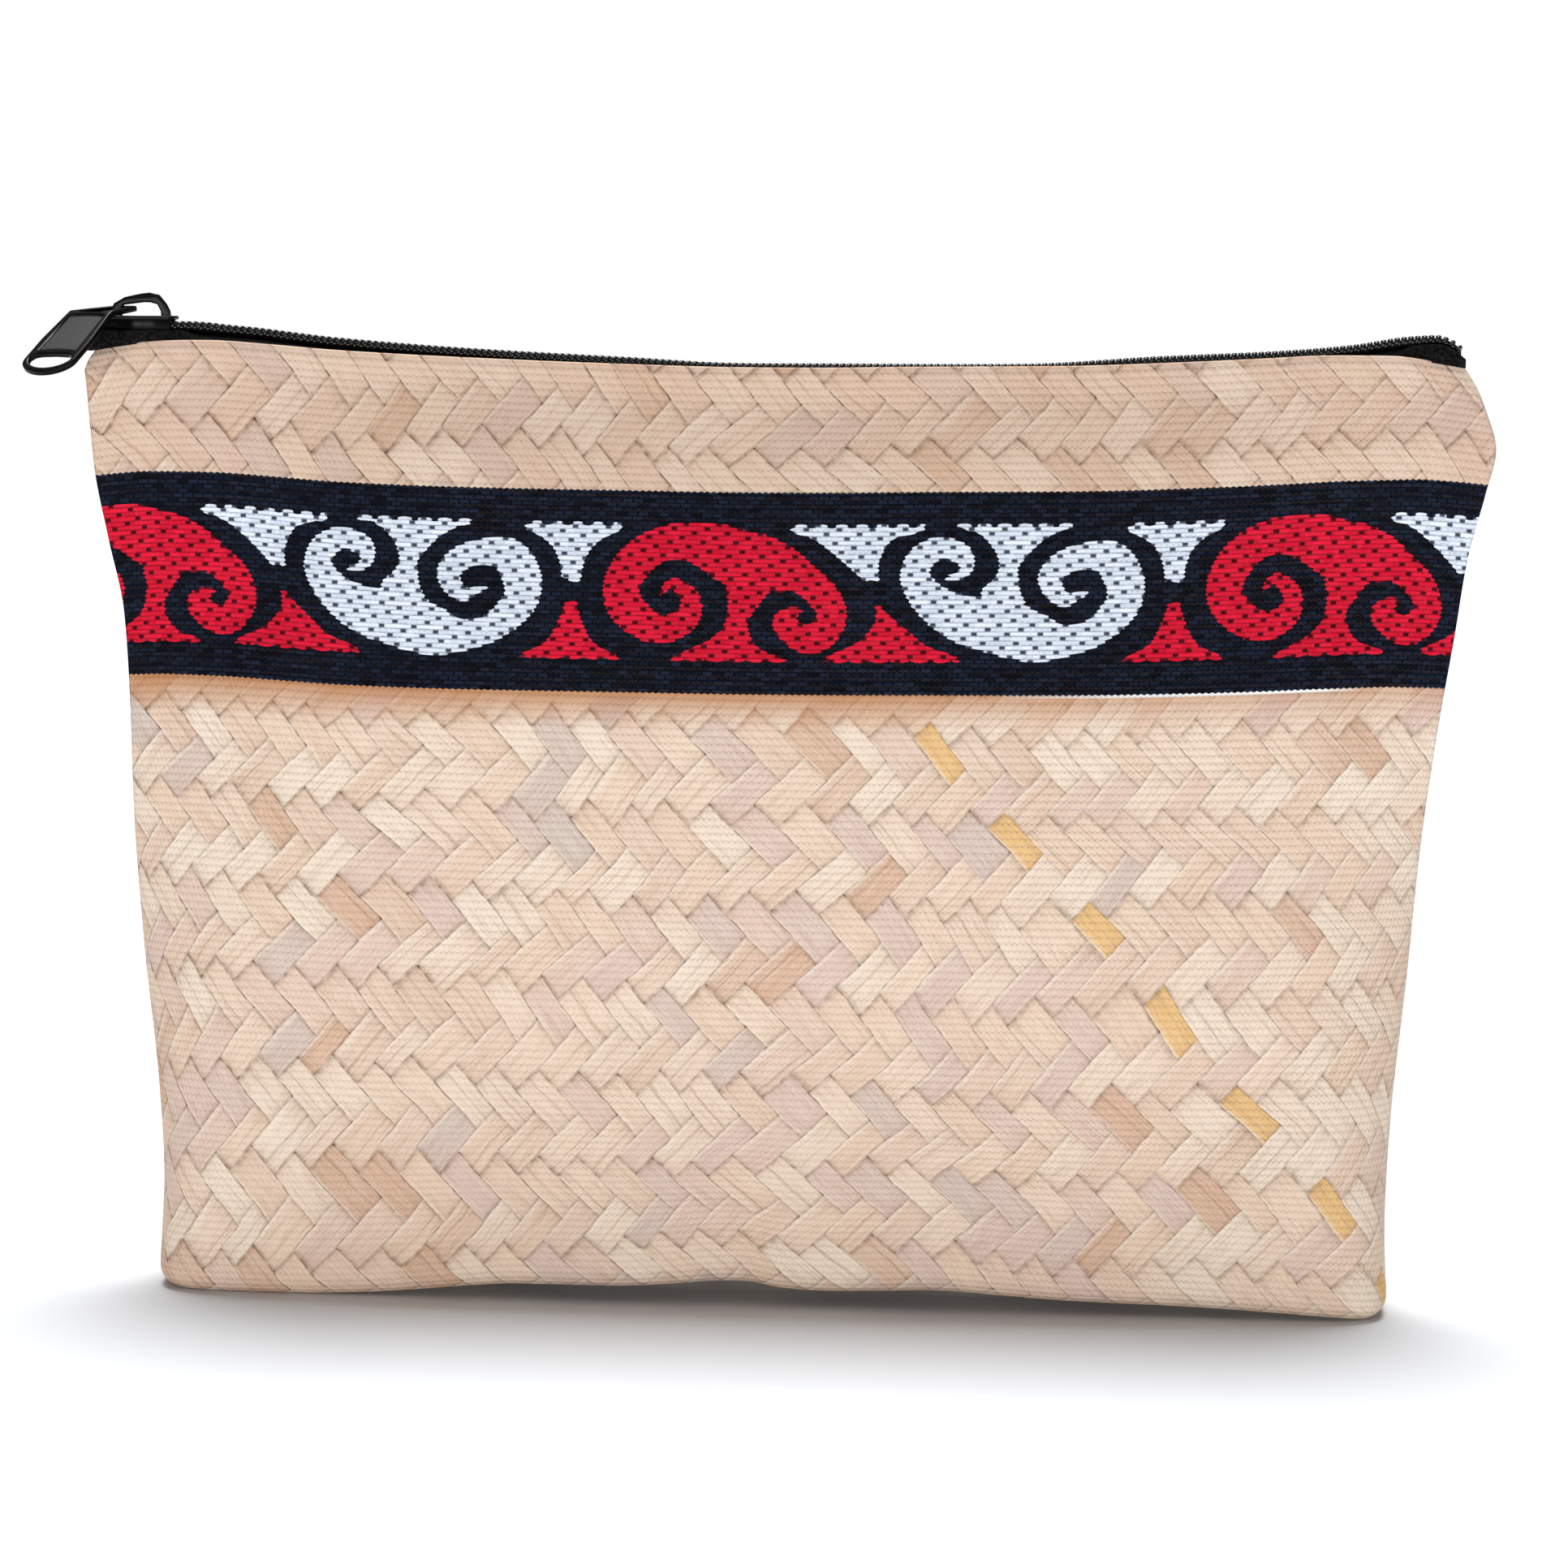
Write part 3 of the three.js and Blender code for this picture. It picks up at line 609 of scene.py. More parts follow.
@dataclass(frozen=True)
class KoruBand:
    """The print's woven band of koru scrolls, charted for one repeat.

    Places are in millimetres: across from the red scroll's middle, and up from the band's foot.
    A stroke's rows are its middle's place and its half thickness. A flare's rows are a height and
    the places of its left and right edge there.
    """

    height: float = 34.0
    repeat: float = 102.1
    scallop: float = 0.55  # how far the flares' flat ends step in between two stitches
    scallop_step: float = 3.45
    course: tuple = ((-120, 104.2), (-77, 103.8), (-21, 104.5), (20, 104.8), (89, 105.4), (120, 106.3))
    red_strokes: tuple = (
        (
            (-19.9, 16.8, 0.35), (-18.9, 18.1, 0.7), (-17.3, 18.2, 1.0), (-15.3, 16.5, 1.55),
            (-14.7, 14.6, 1.75), (-15.8, 12.4, 2.1), (-19, 10.7, 2.25), (-22.5, 11.5, 2.7),
            (-25.5, 14, 3), (-26.8, 16.7, 3.05), (-25.9, 20.1, 3.1), (-23.2, 23.3, 3),
            (-19.5, 25.2, 2.85), (-15.4, 25.5, 3.15), (-10.9, 24.4, 4.15), (-7, 22.8, 4.8),
            (-3.6, 22.2, 4.7), (-0.1, 21.3, 4), (3.7, 19.8, 2.75), (7.6, 16.6, 2.6),
            (9.1, 13.4, 2.45), (7.8, 10.6, 2.6), (5.1, 9.3, 2.3), (2.1, 10.7, 2.1),
            (1.1, 12.4, 1.9), (2.2, 13.7, 0.9), (3.9, 14.2, 0.3),
        ),
        ((-5.2, 18.9, 3.8), (-5.9, 15.5, 2.3), (-6.8, 12.4, 1.5), (-7, 9.7, 2.2)),
    )
    red_flares: tuple = (
        (
            (5.4, -18.3, 2.3), (6, -17.8, 1.7), (7.5, -14.9, -2.7), (9.1, -11.6, -4.3),
            (12, -8.9, -5.3), (15.3, -8.5, -4.5), (18, -9.5, -2.5),
        ),
        (
            (5.4, -43.8, -26.8), (6.1, -43.5, -27.1), (7.9, -39.8, -30.8), (10.8, -37.7, -32.9),
            (14, -36.5, -34.1), (15.4, -36.2, -34.4),
        ),
        (
            (5.4, 7.9, 30.8), (6.3, 8.3, 30.4), (8.3, 12.5, 25.1), (9.6, 14.4, 23.4),
            (11.3, 15.9, 21.3), (12.6, 16.6, 19.7), (14.5, 16.3, 17.5), (15, 16.1, 17),
        ),
    )
    white_strokes: tuple = (
        (
            (28.5, 19.6, 0.35), (30.5, 20.1, 0.7), (31.7, 21.5, 1.15), (30.6, 23.7, 1.7),
            (27, 24.6, 1.8), (24.1, 23, 2.25), (22.9, 20.1, 2.45), (24.6, 16.9, 2.8),
            (28.1, 14.2, 3.4), (31.7, 12.6, 4.05), (35.9, 11.7, 4.4), (40, 10.7, 4.5),
            (43.8, 9.6, 3.9), (48.1, 9, 2.55), (52.8, 10.2, 2.3), (56.2, 12.7, 2.6),
            (58.5, 16, 3), (58.1, 19.7, 3.3), (55.8, 22.7, 2.9), (51.7, 23.2, 2.15),
            (47.9, 22, 2.05), (45.7, 19.7, 1.95), (46.8, 17, 1.6), (48.8, 15.9, 0.95),
            (50.5, 16.6, 0.65), (52.2, 17.1, 0.3),
        ),
        ((38.9, 24.5, 1.6), (38.8, 21.5, 1.5), (38.6, 18.5, 1.9), (38.1, 15, 3.2)),
    )
    white_flares: tuple = (
        (
            (15.1, 34.6, 42), (17.6, 34.3, 40.6), (19.5, 36.4, 40.4), (21.1, 37.1, 40.3),
            (23.4, 36.8, 41.9), (25.6, 35.2, 44.2), (27.2, 33.2, 46.9), (27.9, 29.7, 49.4),
            (28.6, 29.2, 49.9),
        ),
        (
            (18.4, -36.7, -33.9), (21.8, -37.4, -33.2), (24, -38.4, -32.2), (26, -40.8, -29.8),
            (27.3, -43.4, -27.2), (28.4, -43.7, -26.9),
        ),
        (
            (18.9, 14.6, 16.9), (19.2, 14.3, 16.9), (22.2, 10.9, 16.8), (24.8, 7.7, 17.9),
            (26.4, 5, 19.6), (27.4, 1.8, 24.2), (28.5, 1.6, 24.4),
        ),
    )

    def above(self, u: np.ndarray, v: np.ndarray) -> np.ndarray:
        """Gives a place's height above the band's foot, which isn't quite level on the cloth."""
        return v - read_table(self.course, u)

    def depth(self, strokes: tuple, flares: tuple, u: np.ndarray, up: np.ndarray) -> np.ndarray:
        """Works out how deep each place lies inside one colour's shapes.

        Args:
            strokes: The colour's strokes.
            flares: Its flared triangles.
            u: Places along the band.
            up: Their heights above its foot.
        Returns:
            Millimetres inside the nearest edge, less than 0 outside the shapes.
        """
        inside = np.full(u.shape, -20.0)
        near = (up > -2) & (up < self.height + 2)
        across, high = u[near], up[near]
        best = np.full(across.shape, -20.0)
        for repeat in (-2, -1, 0, 1):
            x = across - repeat * self.repeat
            for stroke in strokes:
                for at_x, at_up, half in curve_through(np.array(stroke, float), 6):
                    best = np.maximum(best, half - np.hypot(x - at_x, high - at_up))
            for flare in flares:
                level, left, right = np.array(flare, float).T
                middle = read_table(tuple(zip(level, (left + right) / 2)), high)
                width = read_table(tuple(zip(level, (right - left) / 2)), high)
                step = self.scallop * np.abs(np.sin(math.pi * x / self.scallop_step)) ** 3
                edge = np.minimum(high - level[0], level[-1] - high) - step
                best = np.maximum(best, np.minimum(width - np.abs(x - middle), edge))
        inside[near] = best
        return inside

    def maps(self, u: np.ndarray, v: np.ndarray) -> dict:
        """Gives the band's values at places on the cloth.

        Args:
            u: Places along the cloth.
            v: Heights on the print.
        Returns:
            The values, by the names that the material reads.
        """
        up = self.above(u, v)
        return {
            "band_up": up,
            "koru_red": self.depth(self.red_strokes, self.red_flares, u, up),
            "koru_white": self.depth(self.white_strokes, self.white_flares, u, up),
        }


@dataclass(frozen=True)
class PrintedCanvas:
    """Plain-woven polyester canvas, printed by dye sublimation.

    The dye goes into the threads, so the print is as matte as the cloth, and the small hollows
    between the threads get a painted shade laid over it. It shows a flax plait in a two-over-two
    twill, crossed by a woven band of koru scrolls. Lengths are in millimetres of cloth.
    """

    band_height: float
    span: float = 400.0  # millimetres of cloth to one unit of the UV map
    foot: float = 0.08  # place of the floor line on that map
    strip_across: float = 6.94  # a strip's spacing along the cloth
    strip_up: float = 7.64  # and up it
    sway: float = 8.0  # how far the strips wander
    sway_length: float = 55.5556  # and over what distance
    waver: float = 0.5  # how uneven their cut edges are
    waver_length: float = 4.54545
    patch: float = 5 / 3  # size of the spots where the seams fade
    broad_patch: float = 20.0
    fibres: float = 14.0  # lines of fibre across a strip, coarser than real ones so that they show
    fibre_length: float = 1.6  # changes along half a float
    uneven: float = 0.4  # how much the strips differ in width
    golden_strip: float = 16.0
    row: float = 0.76  # one row of stitches in the band
    dot: float = 5.6  # between two dark ends of floats in a row
    dot_step: float = 3.45  # and how far they move from one row to the next
    thread: float = 0.97  # the canvas's own threads, as coarse as they need to show
    thread_row: float = 1.25
    relief: float = 0.2
    tones: tuple = ((0, "#cdc0b5"), (0.22, "#dfc5b9"), (0.45, "#e8ccb5"), (0.7, "#f0decb"), (0.9, "#dab69d"))

    def make(self) -> bpy.types.Material:
        """Builds the material.

        Returns:
            The material.
        """
        recipe = Recipe("Sublimated_polyester_canvas")
        recipe.add("ShaderNodeUVMap", {"uv_map": "UVMap"}, {}, {0: "uv"})
        recipe.add("ShaderNodeSeparateXYZ", {}, {0: "uv"}, {0: "raw_u", 1: "raw_v"})
        recipe.work_out((
            ("u", "MULTIPLY_ADD", "raw_u", self.span, -0.5 * self.span),
            ("v", "MULTIPLY_ADD", "raw_v", self.span, -self.foot * self.span),
        ))
        recipe.add("ShaderNodeCombineXYZ", {}, {0: "u", 1: "v"}, {0: "cloth"})
        for name in ("band_up", "koru_red", "koru_white"):
            recipe.add("ShaderNodeAttribute", {"attribute_name": name}, {}, {2: name})
        for name, length, detail in (("patchy", self.patch, 3.0), ("broad", self.broad_patch, 1.0)):
            source = {"Vector": "cloth", "Scale": 1 / length, "Detail": detail}
            recipe.add("ShaderNodeTexNoise", {"noise_dimensions": "2D"}, source, {0: name})
        self.weave(recipe)
        self.strips(recipe)
        self.band(recipe)
        self.threads(recipe)
        bump = {"Height": "relief", "Strength": 0.5, "Distance": self.relief * MM}
        recipe.add("ShaderNodeBump", {}, bump, {0: "normal"})
        return recipe.surface({
            "Base Color": "colour", "Roughness": 0.92, "Specular IOR Level": 0.04, "Normal": "normal",
        })

    def weave(self, recipe: Recipe) -> None:
        """Finds which strip lies on top at each place, and the place on that strip's float.

        The strips sway and waver as hand-cut flax does. Each passes over two strips and under two.

        Args:
            recipe: The material's nodes so far.
        """
        for name, length in (("sway", self.sway_length), ("waver", self.waver_length)):
            source = {"Vector": "cloth", "Scale": 1 / length, "Detail": 1.0}
            recipe.add("ShaderNodeTexNoise", {"noise_dimensions": "2D"}, source, {1: name})
            recipe.add("ShaderNodeSeparateColor", {}, {0: name}, {0: f"{name}_u", 1: f"{name}_v"})
        still = -(self.sway + self.waver) / 2
        recipe.work_out((
            ("u1", "MULTIPLY_ADD", "sway_u", self.sway, "u"),
            ("u2", "MULTIPLY_ADD", "waver_u", self.waver, "u1"),
            ("x", "MULTIPLY_ADD", "u2", 1 / self.strip_across, still / self.strip_across),
            ("v1", "MULTIPLY_ADD", "sway_v", self.sway, "v"),
            ("v2", "MULTIPLY_ADD", "waver_v", self.waver, "v1"),
            ("y", "MULTIPLY_ADD", "v2", 1 / self.strip_up, still / self.strip_up),
            ("even_a", "ADD", "x", "y"),
            ("even_b", "SUBTRACT", "y", "x"),
        ))
        for way in "ab":
            source = {"W": f"even_{way}", "Scale": 0.9, "Detail": 0.0}
            recipe.add("ShaderNodeTexNoise", {"noise_dimensions": "1D"}, source, {0: f"width_{way}"})
        recipe.work_out((
            ("a", "MULTIPLY_ADD", "width_a", self.uneven, "even_a"),
            ("b", "MULTIPLY_ADD", "width_b", self.uneven, "even_b"),
            ("i", "FLOOR", "a"),
            ("j", "FLOOR", "b"),
            ("sum", "ADD", "i", "j"),
            ("turn", "FLOORED_MODULO", "sum", 4.0),
            ("falling", "LESS_THAN", "turn", 1.5),
            ("fall_across", "SUBTRACT", "a", "i"),
            ("rise_across", "SUBTRACT", "b", "j"),
            ("b_i", "ADD", "b", "i"),
            ("fall_bit", "MULTIPLY", "b_i", 0.25),
            ("fall_mod", "FLOORED_MODULO", "b_i", 4.0),
            ("fall_along", "MULTIPLY", "fall_mod", 0.5),
            ("a_j", "ADD", "a", "j"),
            ("rise_bit", "MULTIPLY", "a_j", 0.25),
            ("rise_mod", "FLOORED_MODULO", "a_j", 4.0),
            ("rise_along", "MULTIPLY_ADD", "rise_mod", 0.5, -1.0),
        ))
        recipe.work_out((
            ("across", "PICK", "falling", "rise_across", "fall_across"),
            ("along", "PICK", "falling", "rise_along", "fall_along"),
            ("strip", "PICK", "falling", "j", "i"),
            ("bit_raw", "PICK", "falling", "rise_bit", "fall_bit"),
            ("bit", "FLOOR", "bit_raw"),
        ))

    def strips(self, recipe: Recipe) -> None:
        """Colours the strips: each float its own dried-flax tone, with grain and dark seams.

        Args:
            recipe: The material's nodes so far.
        """
        solid = {"noise_dimensions": "3D"}
        for name, second in (("float", "bit"), ("strip", 40.0)):
            recipe.add("ShaderNodeCombineXYZ", {}, {0: "strip", 1: second, 2: "falling"}, {0: f"{name}_key"})
            recipe.add("ShaderNodeTexWhiteNoise", solid, {"Vector": f"{name}_key"}, {0: f"{name}_tone"})
        recipe.work_out((
            ("grain_across", "MULTIPLY", "across", self.fibres),
            ("grain_along", "MULTIPLY", "along", self.fibre_length),
        ))
        places = {0: "grain_across", 1: "grain_along", 2: "strip"}
        recipe.add("ShaderNodeCombineXYZ", {}, places, {0: "fibre"})
        source = {"Vector": "fibre", "Scale": 1.0, "Detail": 2.0}
        recipe.add("ShaderNodeTexNoise", solid, source, {0: "grain"})
        recipe.work_out((
            ("left", "RAMP", "u", 70.0, -125.0),
            ("upper", "RAMP", "v", 118.0, 130.0),
            ("strong_a", "MULTIPLY_ADD", "left", 0.2, 0.62),
            ("strong", "MULTIPLY_ADD", "upper", 0.18, "strong_a"),
            # Painted shade: the cloth is darkened towards the top.
            ("top_shade_share", "MULTIPLY", "upper", 0.36),
            ("split_place", "MULTIPLY_ADD", "float_tone", 0.5, 0.25),
            ("split_off", "SUBTRACT", "across", "split_place"),
            ("split_near", "ABSOLUTE", "split_off"),
            ("split_line", "RAMP", "split_near", 0.05, 0.015),
            ("split_some", "RAMP", "strip_tone", 0.35, 0.6),
            ("split_a", "MULTIPLY", "split_line", "split_some"),
            ("split_share", "MULTIPLY", "split_a", 0.3),
            ("tone_a", "MULTIPLY", "float_tone", 0.55),
            ("tone_b", "MULTIPLY_ADD", "strip_tone", 0.45, "tone_a"),
            ("tone", "MULTIPLY_ADD", "broad", 0.1, "tone_b"),
            ("worn", "RAMP", "patchy", 0.35, 0.62),
            ("high_edge", "RAMP", "across", 0.93, 0.985),
            ("low_edge", "RAMP", "across", 0.075, 0.02),
            ("high_light", "RAMP", "across", 0.84, 0.93),
            ("first_end", "RAMP", "along", 0.07, 0.01),
            ("last_end", "RAMP", "along", 0.93, 0.99),
            ("first_shade", "RAMP", "along", 0.28, 0.0),
            ("last_shade", "RAMP", "along", 0.75, 1.0),
            ("rising", "SUBTRACT", 1.0, "falling"),
            ("seam_a", "MULTIPLY", "high_edge", "falling"),
            ("seam_b", "MULTIPLY", "low_edge", "rising"),
            ("seam_c", "MULTIPLY", "seam_b", 0.7),
            ("ends", "MAXIMUM", "first_end", "last_end"),
            ("seam_d", "MAXIMUM", "seam_a", "seam_c"),
            ("seam_e", "MULTIPLY_ADD", "ends", 0.6, "seam_d"),
            ("keep", "MULTIPLY_ADD", "worn", 0.7, 0.3),
            ("seam", "MULTIPLY", "seam_e", "keep"),
            ("seam_share", "MULTIPLY", "seam", "strong"),
            ("shade", "MAXIMUM", "first_shade", "last_shade"),
            ("shade_a", "MULTIPLY", "shade", "strong"),
            ("shade_share", "MULTIPLY", "shade_a", 0.24),
            ("light_a", "MULTIPLY", "low_edge", "falling"),
            ("light_b", "MULTIPLY", "high_light", "rising"),
            ("light", "ADD", "light_a", "light_b"),
            ("light_share", "MULTIPLY", "light", 0.4),
            ("grain_dark", "RAMP", "grain", 0.5, 0.75),
            ("grain_share", "MULTIPLY", "grain_dark", 0.42),
            ("grain_light", "RAMP", "grain", 0.5, 0.25),
            ("gleam_share", "MULTIPLY", "grain_light", 0.3),
            ("golden_a", "COMPARE", "strip", self.golden_strip, 0.5),
            ("golden_b", "MULTIPLY", "golden_a", "falling"),
            ("golden_low", "SUBTRACT", 1.0, "upper"),
            ("golden", "MULTIPLY", "golden_b", "golden_low"),
        ))
        ramp = recipe.add("ShaderNodeValToRGB", {}, {0: "tone"}, {0: "flax"}).color_ramp
        ramp.elements.remove(ramp.elements[1])
        for k, (place, tone) in enumerate(self.tones):
            stop = ramp.elements[0] if k == 0 else ramp.elements.new(place)
            stop.position, stop.color = place, linear(tone)
        recipe.work_out((
            ("flax_gold", "MIX", "golden", "flax", "#e9be83"),
            ("flax_grain", "MIX", "grain_share", "flax_gold", "#b99c80"),
            ("flax_split", "MIX", "split_share", "flax_grain", "#8d6a50"),
            ("flax_gleam", "MIX", "gleam_share", "flax_split", "#f3e4d2"),
            ("flax_light", "MIX", "light_share", "flax_gleam", "#f6eadb"),
            # Painted shade towards the top of the cloth.
            ("flax_top_shade", "MIX", "top_shade_share", "flax_light", "#b08c72"),
            ("flax_shade", "MIX", "shade_share", "flax_top_shade", "#b49379"),
            ("plait", "MIX", "seam_share", "flax_shade", "#6a4a35"),
        ))

    def band(self, recipe: Recipe) -> None:
        """Colours the band: navy rows of stitches, with the red and the white scrolls.

        Args:
            recipe: The material's nodes so far.
        """
        recipe.work_out((
            ("row_place", "DIVIDE", "band_up", self.row),
            ("row_number", "FLOOR", "row_place"),
            ("row_rise", "PINGPONG", "row_place", 0.5),
            ("row_line", "RAMP", "row_rise", 0.2, 0.03),
        ))
        line = {"noise_dimensions": "1D"}
        recipe.add("ShaderNodeTexWhiteNoise", line, {"W": "row_number"}, {0: "row_tone"})
        recipe.work_out((
            ("ragged_a", "MULTIPLY_ADD", "row_rise", 0.7, -0.25),
            ("ragged", "MULTIPLY_ADD", "row_tone", 0.16, "ragged_a"),
            ("red_depth", "ADD", "koru_red", "ragged"),
            ("red", "RAMP", "red_depth", -0.05, 0.05),
            ("white_depth", "ADD", "koru_white", "ragged"),
            ("white", "RAMP", "white_depth", -0.05, 0.05),
            ("dot_place", "MULTIPLY_ADD", "row_number", self.dot_step, "u"),
            ("dot_jitter", "MULTIPLY_ADD", "row_tone", 0.5, "dot_place"),
            ("dot_cycle", "MULTIPLY", "dot_jitter", 1 / self.dot),
            ("dot_near", "PINGPONG", "dot_cycle", 0.5),
            ("dot_a", "RAMP", "dot_near", 0.115, 0.065),
            ("dot_b", "RAMP", "row_rise", 0.02, 0.2),
            ("dot", "MULTIPLY", "dot_a", "dot_b"),
            ("brick_place", "MULTIPLY_ADD", "row_number", 0.9, "u"),
            ("brick_cycle", "MULTIPLY", "brick_place", 1 / 1.8),
            ("brick", "FLOOR", "brick_cycle"),
            ("brick_near", "PINGPONG", "brick_cycle", 0.5),
            ("brick_line", "RAMP", "brick_near", 0.12, 0.03),
            ("brick_edge", "MAXIMUM", "brick_line", "row_line"),
            ("row_worn", "MULTIPLY_ADD", "worn", 0.5, 0.5),
            ("row_seen", "MULTIPLY", "row_line", "row_worn"),
            ("row_share", "MULTIPLY", "row_seen", 0.85),
            ("row_faint", "MULTIPLY", "row_seen", 0.8),
            ("dot_share", "MULTIPLY", "dot", 0.95),
            ("hem", "PINGPONG", "u", 0.55),
            ("hem_up", "MULTIPLY_ADD", "hem", 0.4, "band_up"),
            ("hem_down", "MULTIPLY_ADD", "hem", -0.4, "band_up"),
            ("from_foot", "RAMP", "hem_up", 0.1, 0.22),
            ("to_top", "RAMP", "hem_down", self.band_height - 0.1, self.band_height - 0.22),
            ("in_band", "MULTIPLY", "from_foot", "to_top"),
            ("glow_a", "RAMP", "band_up", -6.0, 0.0),
            ("glow_b", "LESS_THAN", "band_up", 1.0),
            ("glow_c", "MULTIPLY", "glow_a", "glow_b"),
            ("glow_side", "RAMP", "u", 80.0, 10.0),
            ("glow_d", "MULTIPLY_ADD", "glow_side", 0.35, 0.5),
            ("glow", "MULTIPLY", "glow_c", "glow_d"),
            ("sliver_from", "RAMP", "u", 36.0, 60.0),
            ("sliver_to", "RAMP", "u", 100.0, 92.0),
            ("sliver_up", "RAMP", "band_up", -0.5, -0.3),
            ("sliver_low", "LESS_THAN", "band_up", 1.0),
            ("sliver_a", "MULTIPLY", "sliver_from", "sliver_to"),
            ("sliver_b", "MULTIPLY", "sliver_up", "sliver_low"),
            ("sliver", "MULTIPLY", "sliver_a", "sliver_b"),
        ))
        solid = {"noise_dimensions": "3D"}
        recipe.add("ShaderNodeCombineXYZ", {}, {0: "brick", 1: "row_number", 2: 5.0}, {0: "brick_key"})
        recipe.add("ShaderNodeTexWhiteNoise", solid, {"Vector": "brick_key"}, {0: "brick_tone"})
        recipe.work_out((
            ("ground_a", "MIX", "brick_tone", "#0c0e14", "#1d2537"),
            ("ground", "MIX", "brick_edge", "ground_a", "#0a0b10"),
            ("red_a", "MIX", "brick_tone", "#cd1631", "#e4213d"),
            ("red_b", "MIX", "row_share", "red_a", "#6d0c1b"),
            ("red_c", "MIX", "dot_share", "red_b", "#2a0a12"),
            ("white_a", "MIX", "brick_tone", "#d3dce8", "#e8eff9"),
            ("white_b", "MIX", "row_faint", "white_a", "#69738c"),
            ("white_c", "MIX", "dot_share", "white_b", "#20283f"),
            ("band_red", "MIX", "red", "ground", "red_c"),
            ("band_all", "MIX", "white", "band_red", "white_c"),
            ("plait_glow", "MIX", "glow", "plait", "#b3743f"),
            ("plait_edge", "MIX", "sliver", "plait_glow", "#f4f2f0"),
            ("print", "MIX", "in_band", "plait_edge", "band_all"),
        ))

    def threads(self, recipe: Recipe) -> None:
        """Lays the canvas's own threads over the print: a painted shade in the fine hollows between them,
        and their relief.

        Args:
            recipe: The material's nodes so far.
        """
        recipe.work_out((
            ("thread_up", "DIVIDE", "v", self.thread_row),
            ("thread_row", "FLOOR", "thread_up"),
            ("thread_rise", "PINGPONG", "thread_up", 0.5),
            ("thread_along", "MULTIPLY", "u", 1 / self.thread),
            ("thread_shift", "MULTIPLY_ADD", "thread_row", 0.5, "thread_along"),
            ("thread_near", "PINGPONG", "thread_shift", 0.5),
            ("hollow_a", "RAMP", "thread_near", 0.3, 0.1),
            ("hollow_b", "RAMP", "thread_rise", 0.26, 0.06),
            ("hollow", "MULTIPLY", "hollow_a", "hollow_b"),
            # How strong the hollows' painted shade is: more in broad patches and towards the right.
            ("hollow_c", "RAMP", "broad", 0.35, 0.65),
            ("hollow_e", "SUBTRACT", 1.0, "left"),
            ("hollow_f", "MULTIPLY_ADD", "hollow_e", 0.12, 0.06),
            ("hollow_d", "MULTIPLY_ADD", "hollow_c", 0.12, "hollow_f"),
            ("hollow_shade_share", "MULTIPLY", "hollow", "hollow_d"),
            ("relief_a", "ADD", "thread_near", "thread_rise"),
            ("relief", "SUBTRACT", "relief_a", "hollow"),
        ))
        # Painted shade: the hollows between the threads are darkened in colour.
        recipe.work_out((("colour", "MIX", "hollow_shade_share", "print", "#5a4536"),))


@dataclass(frozen=True)
class PlainFinish:
    """A finish of one colour, with a fine grain: its name, colours, gloss and the grain's size."""

    name: str
    colour: str
    roughness: float
    specular: float = 0.5
    worn: str = "#000000"  # the colour between which and the first it varies
    grain: float = 0.0  # millimetres
    relief: float = 0.0  # millimetres

    def make(self) -> bpy.types.Material:
        """Builds the material.

        Returns:
            The material.
        """
        recipe = Recipe(self.name)
        settings = {
            "Base Color": self.colour, "Roughness": self.roughness, "Specular IOR Level": self.specular,
        }
        if self.grain:
            recipe.add("ShaderNodeTexCoord", {}, {}, {"Object": "place"})
            source = {"Vector": "place", "Scale": 1 / (self.grain * MM), "Detail": 2.0}
            recipe.add("ShaderNodeTexNoise", {}, source, {0: "grain"})
            recipe.work_out((
                ("grain_share", "RAMP", "grain", 0.35, 0.65),
                ("colour", "MIX", "grain_share", self.colour, self.worn),
            ))
            bump = {"Height": "grain", "Strength": 0.6, "Distance": self.relief * MM}
            recipe.add("ShaderNodeBump", {}, bump, {0: "normal"})
            settings |= {"Base Color": "colour", "Normal": "normal"}
        return recipe.surface(settings)


# Polyester yarn woven into a narrow tape and dyed black: dead matte, with lighter yarns half a
# millimetre apart.
TAPE = PlainFinish(
    "Woven_polyester_tape", "#060606", roughness=0.95, specular=0.05, worn="#1c1c1e", grain=0.5, relief=0.15
)
# Nylon monofilament drawn, dyed black and set by heat into a coil: smooth, so each rod has a small
# soft gleam.
NYLON = PlainFinish(
    "Dyed_nylon_coil", "#060606", roughness=0.28, specular=0.55, worn="#101010", grain=0.8, relief=0.01
)
# Zinc alloy, die-cast, tumbled and enamelled black: glossy, with a slight orange peel.
ENAMEL = PlainFinish(
    "Black_enamelled_zinc", "#040404", roughness=0.28, specular=0.12, worn="#0a0a0a", grain=1.5, relief=0.02
)
# The same enamel in the pull's sunk face: rougher, and its grey colour is a painted sheen,
# standing in for the light that the face reflects.
SHEEN_PAINTED_ENAMEL = PlainFinish(
    "Black_enamel_with_painted_sheen", "#3c3c3c", roughness=0.6, specular=0.1, worn="#424242", grain=0.6, relief=0.01
)
# Uncoated paper off a wide roll: matte and even, so it shows the shadow alone.
PAPER = PlainFinish("Pale_seamless_paper", "#dde0e4", roughness=0.9, specular=0.0)


# Pieces


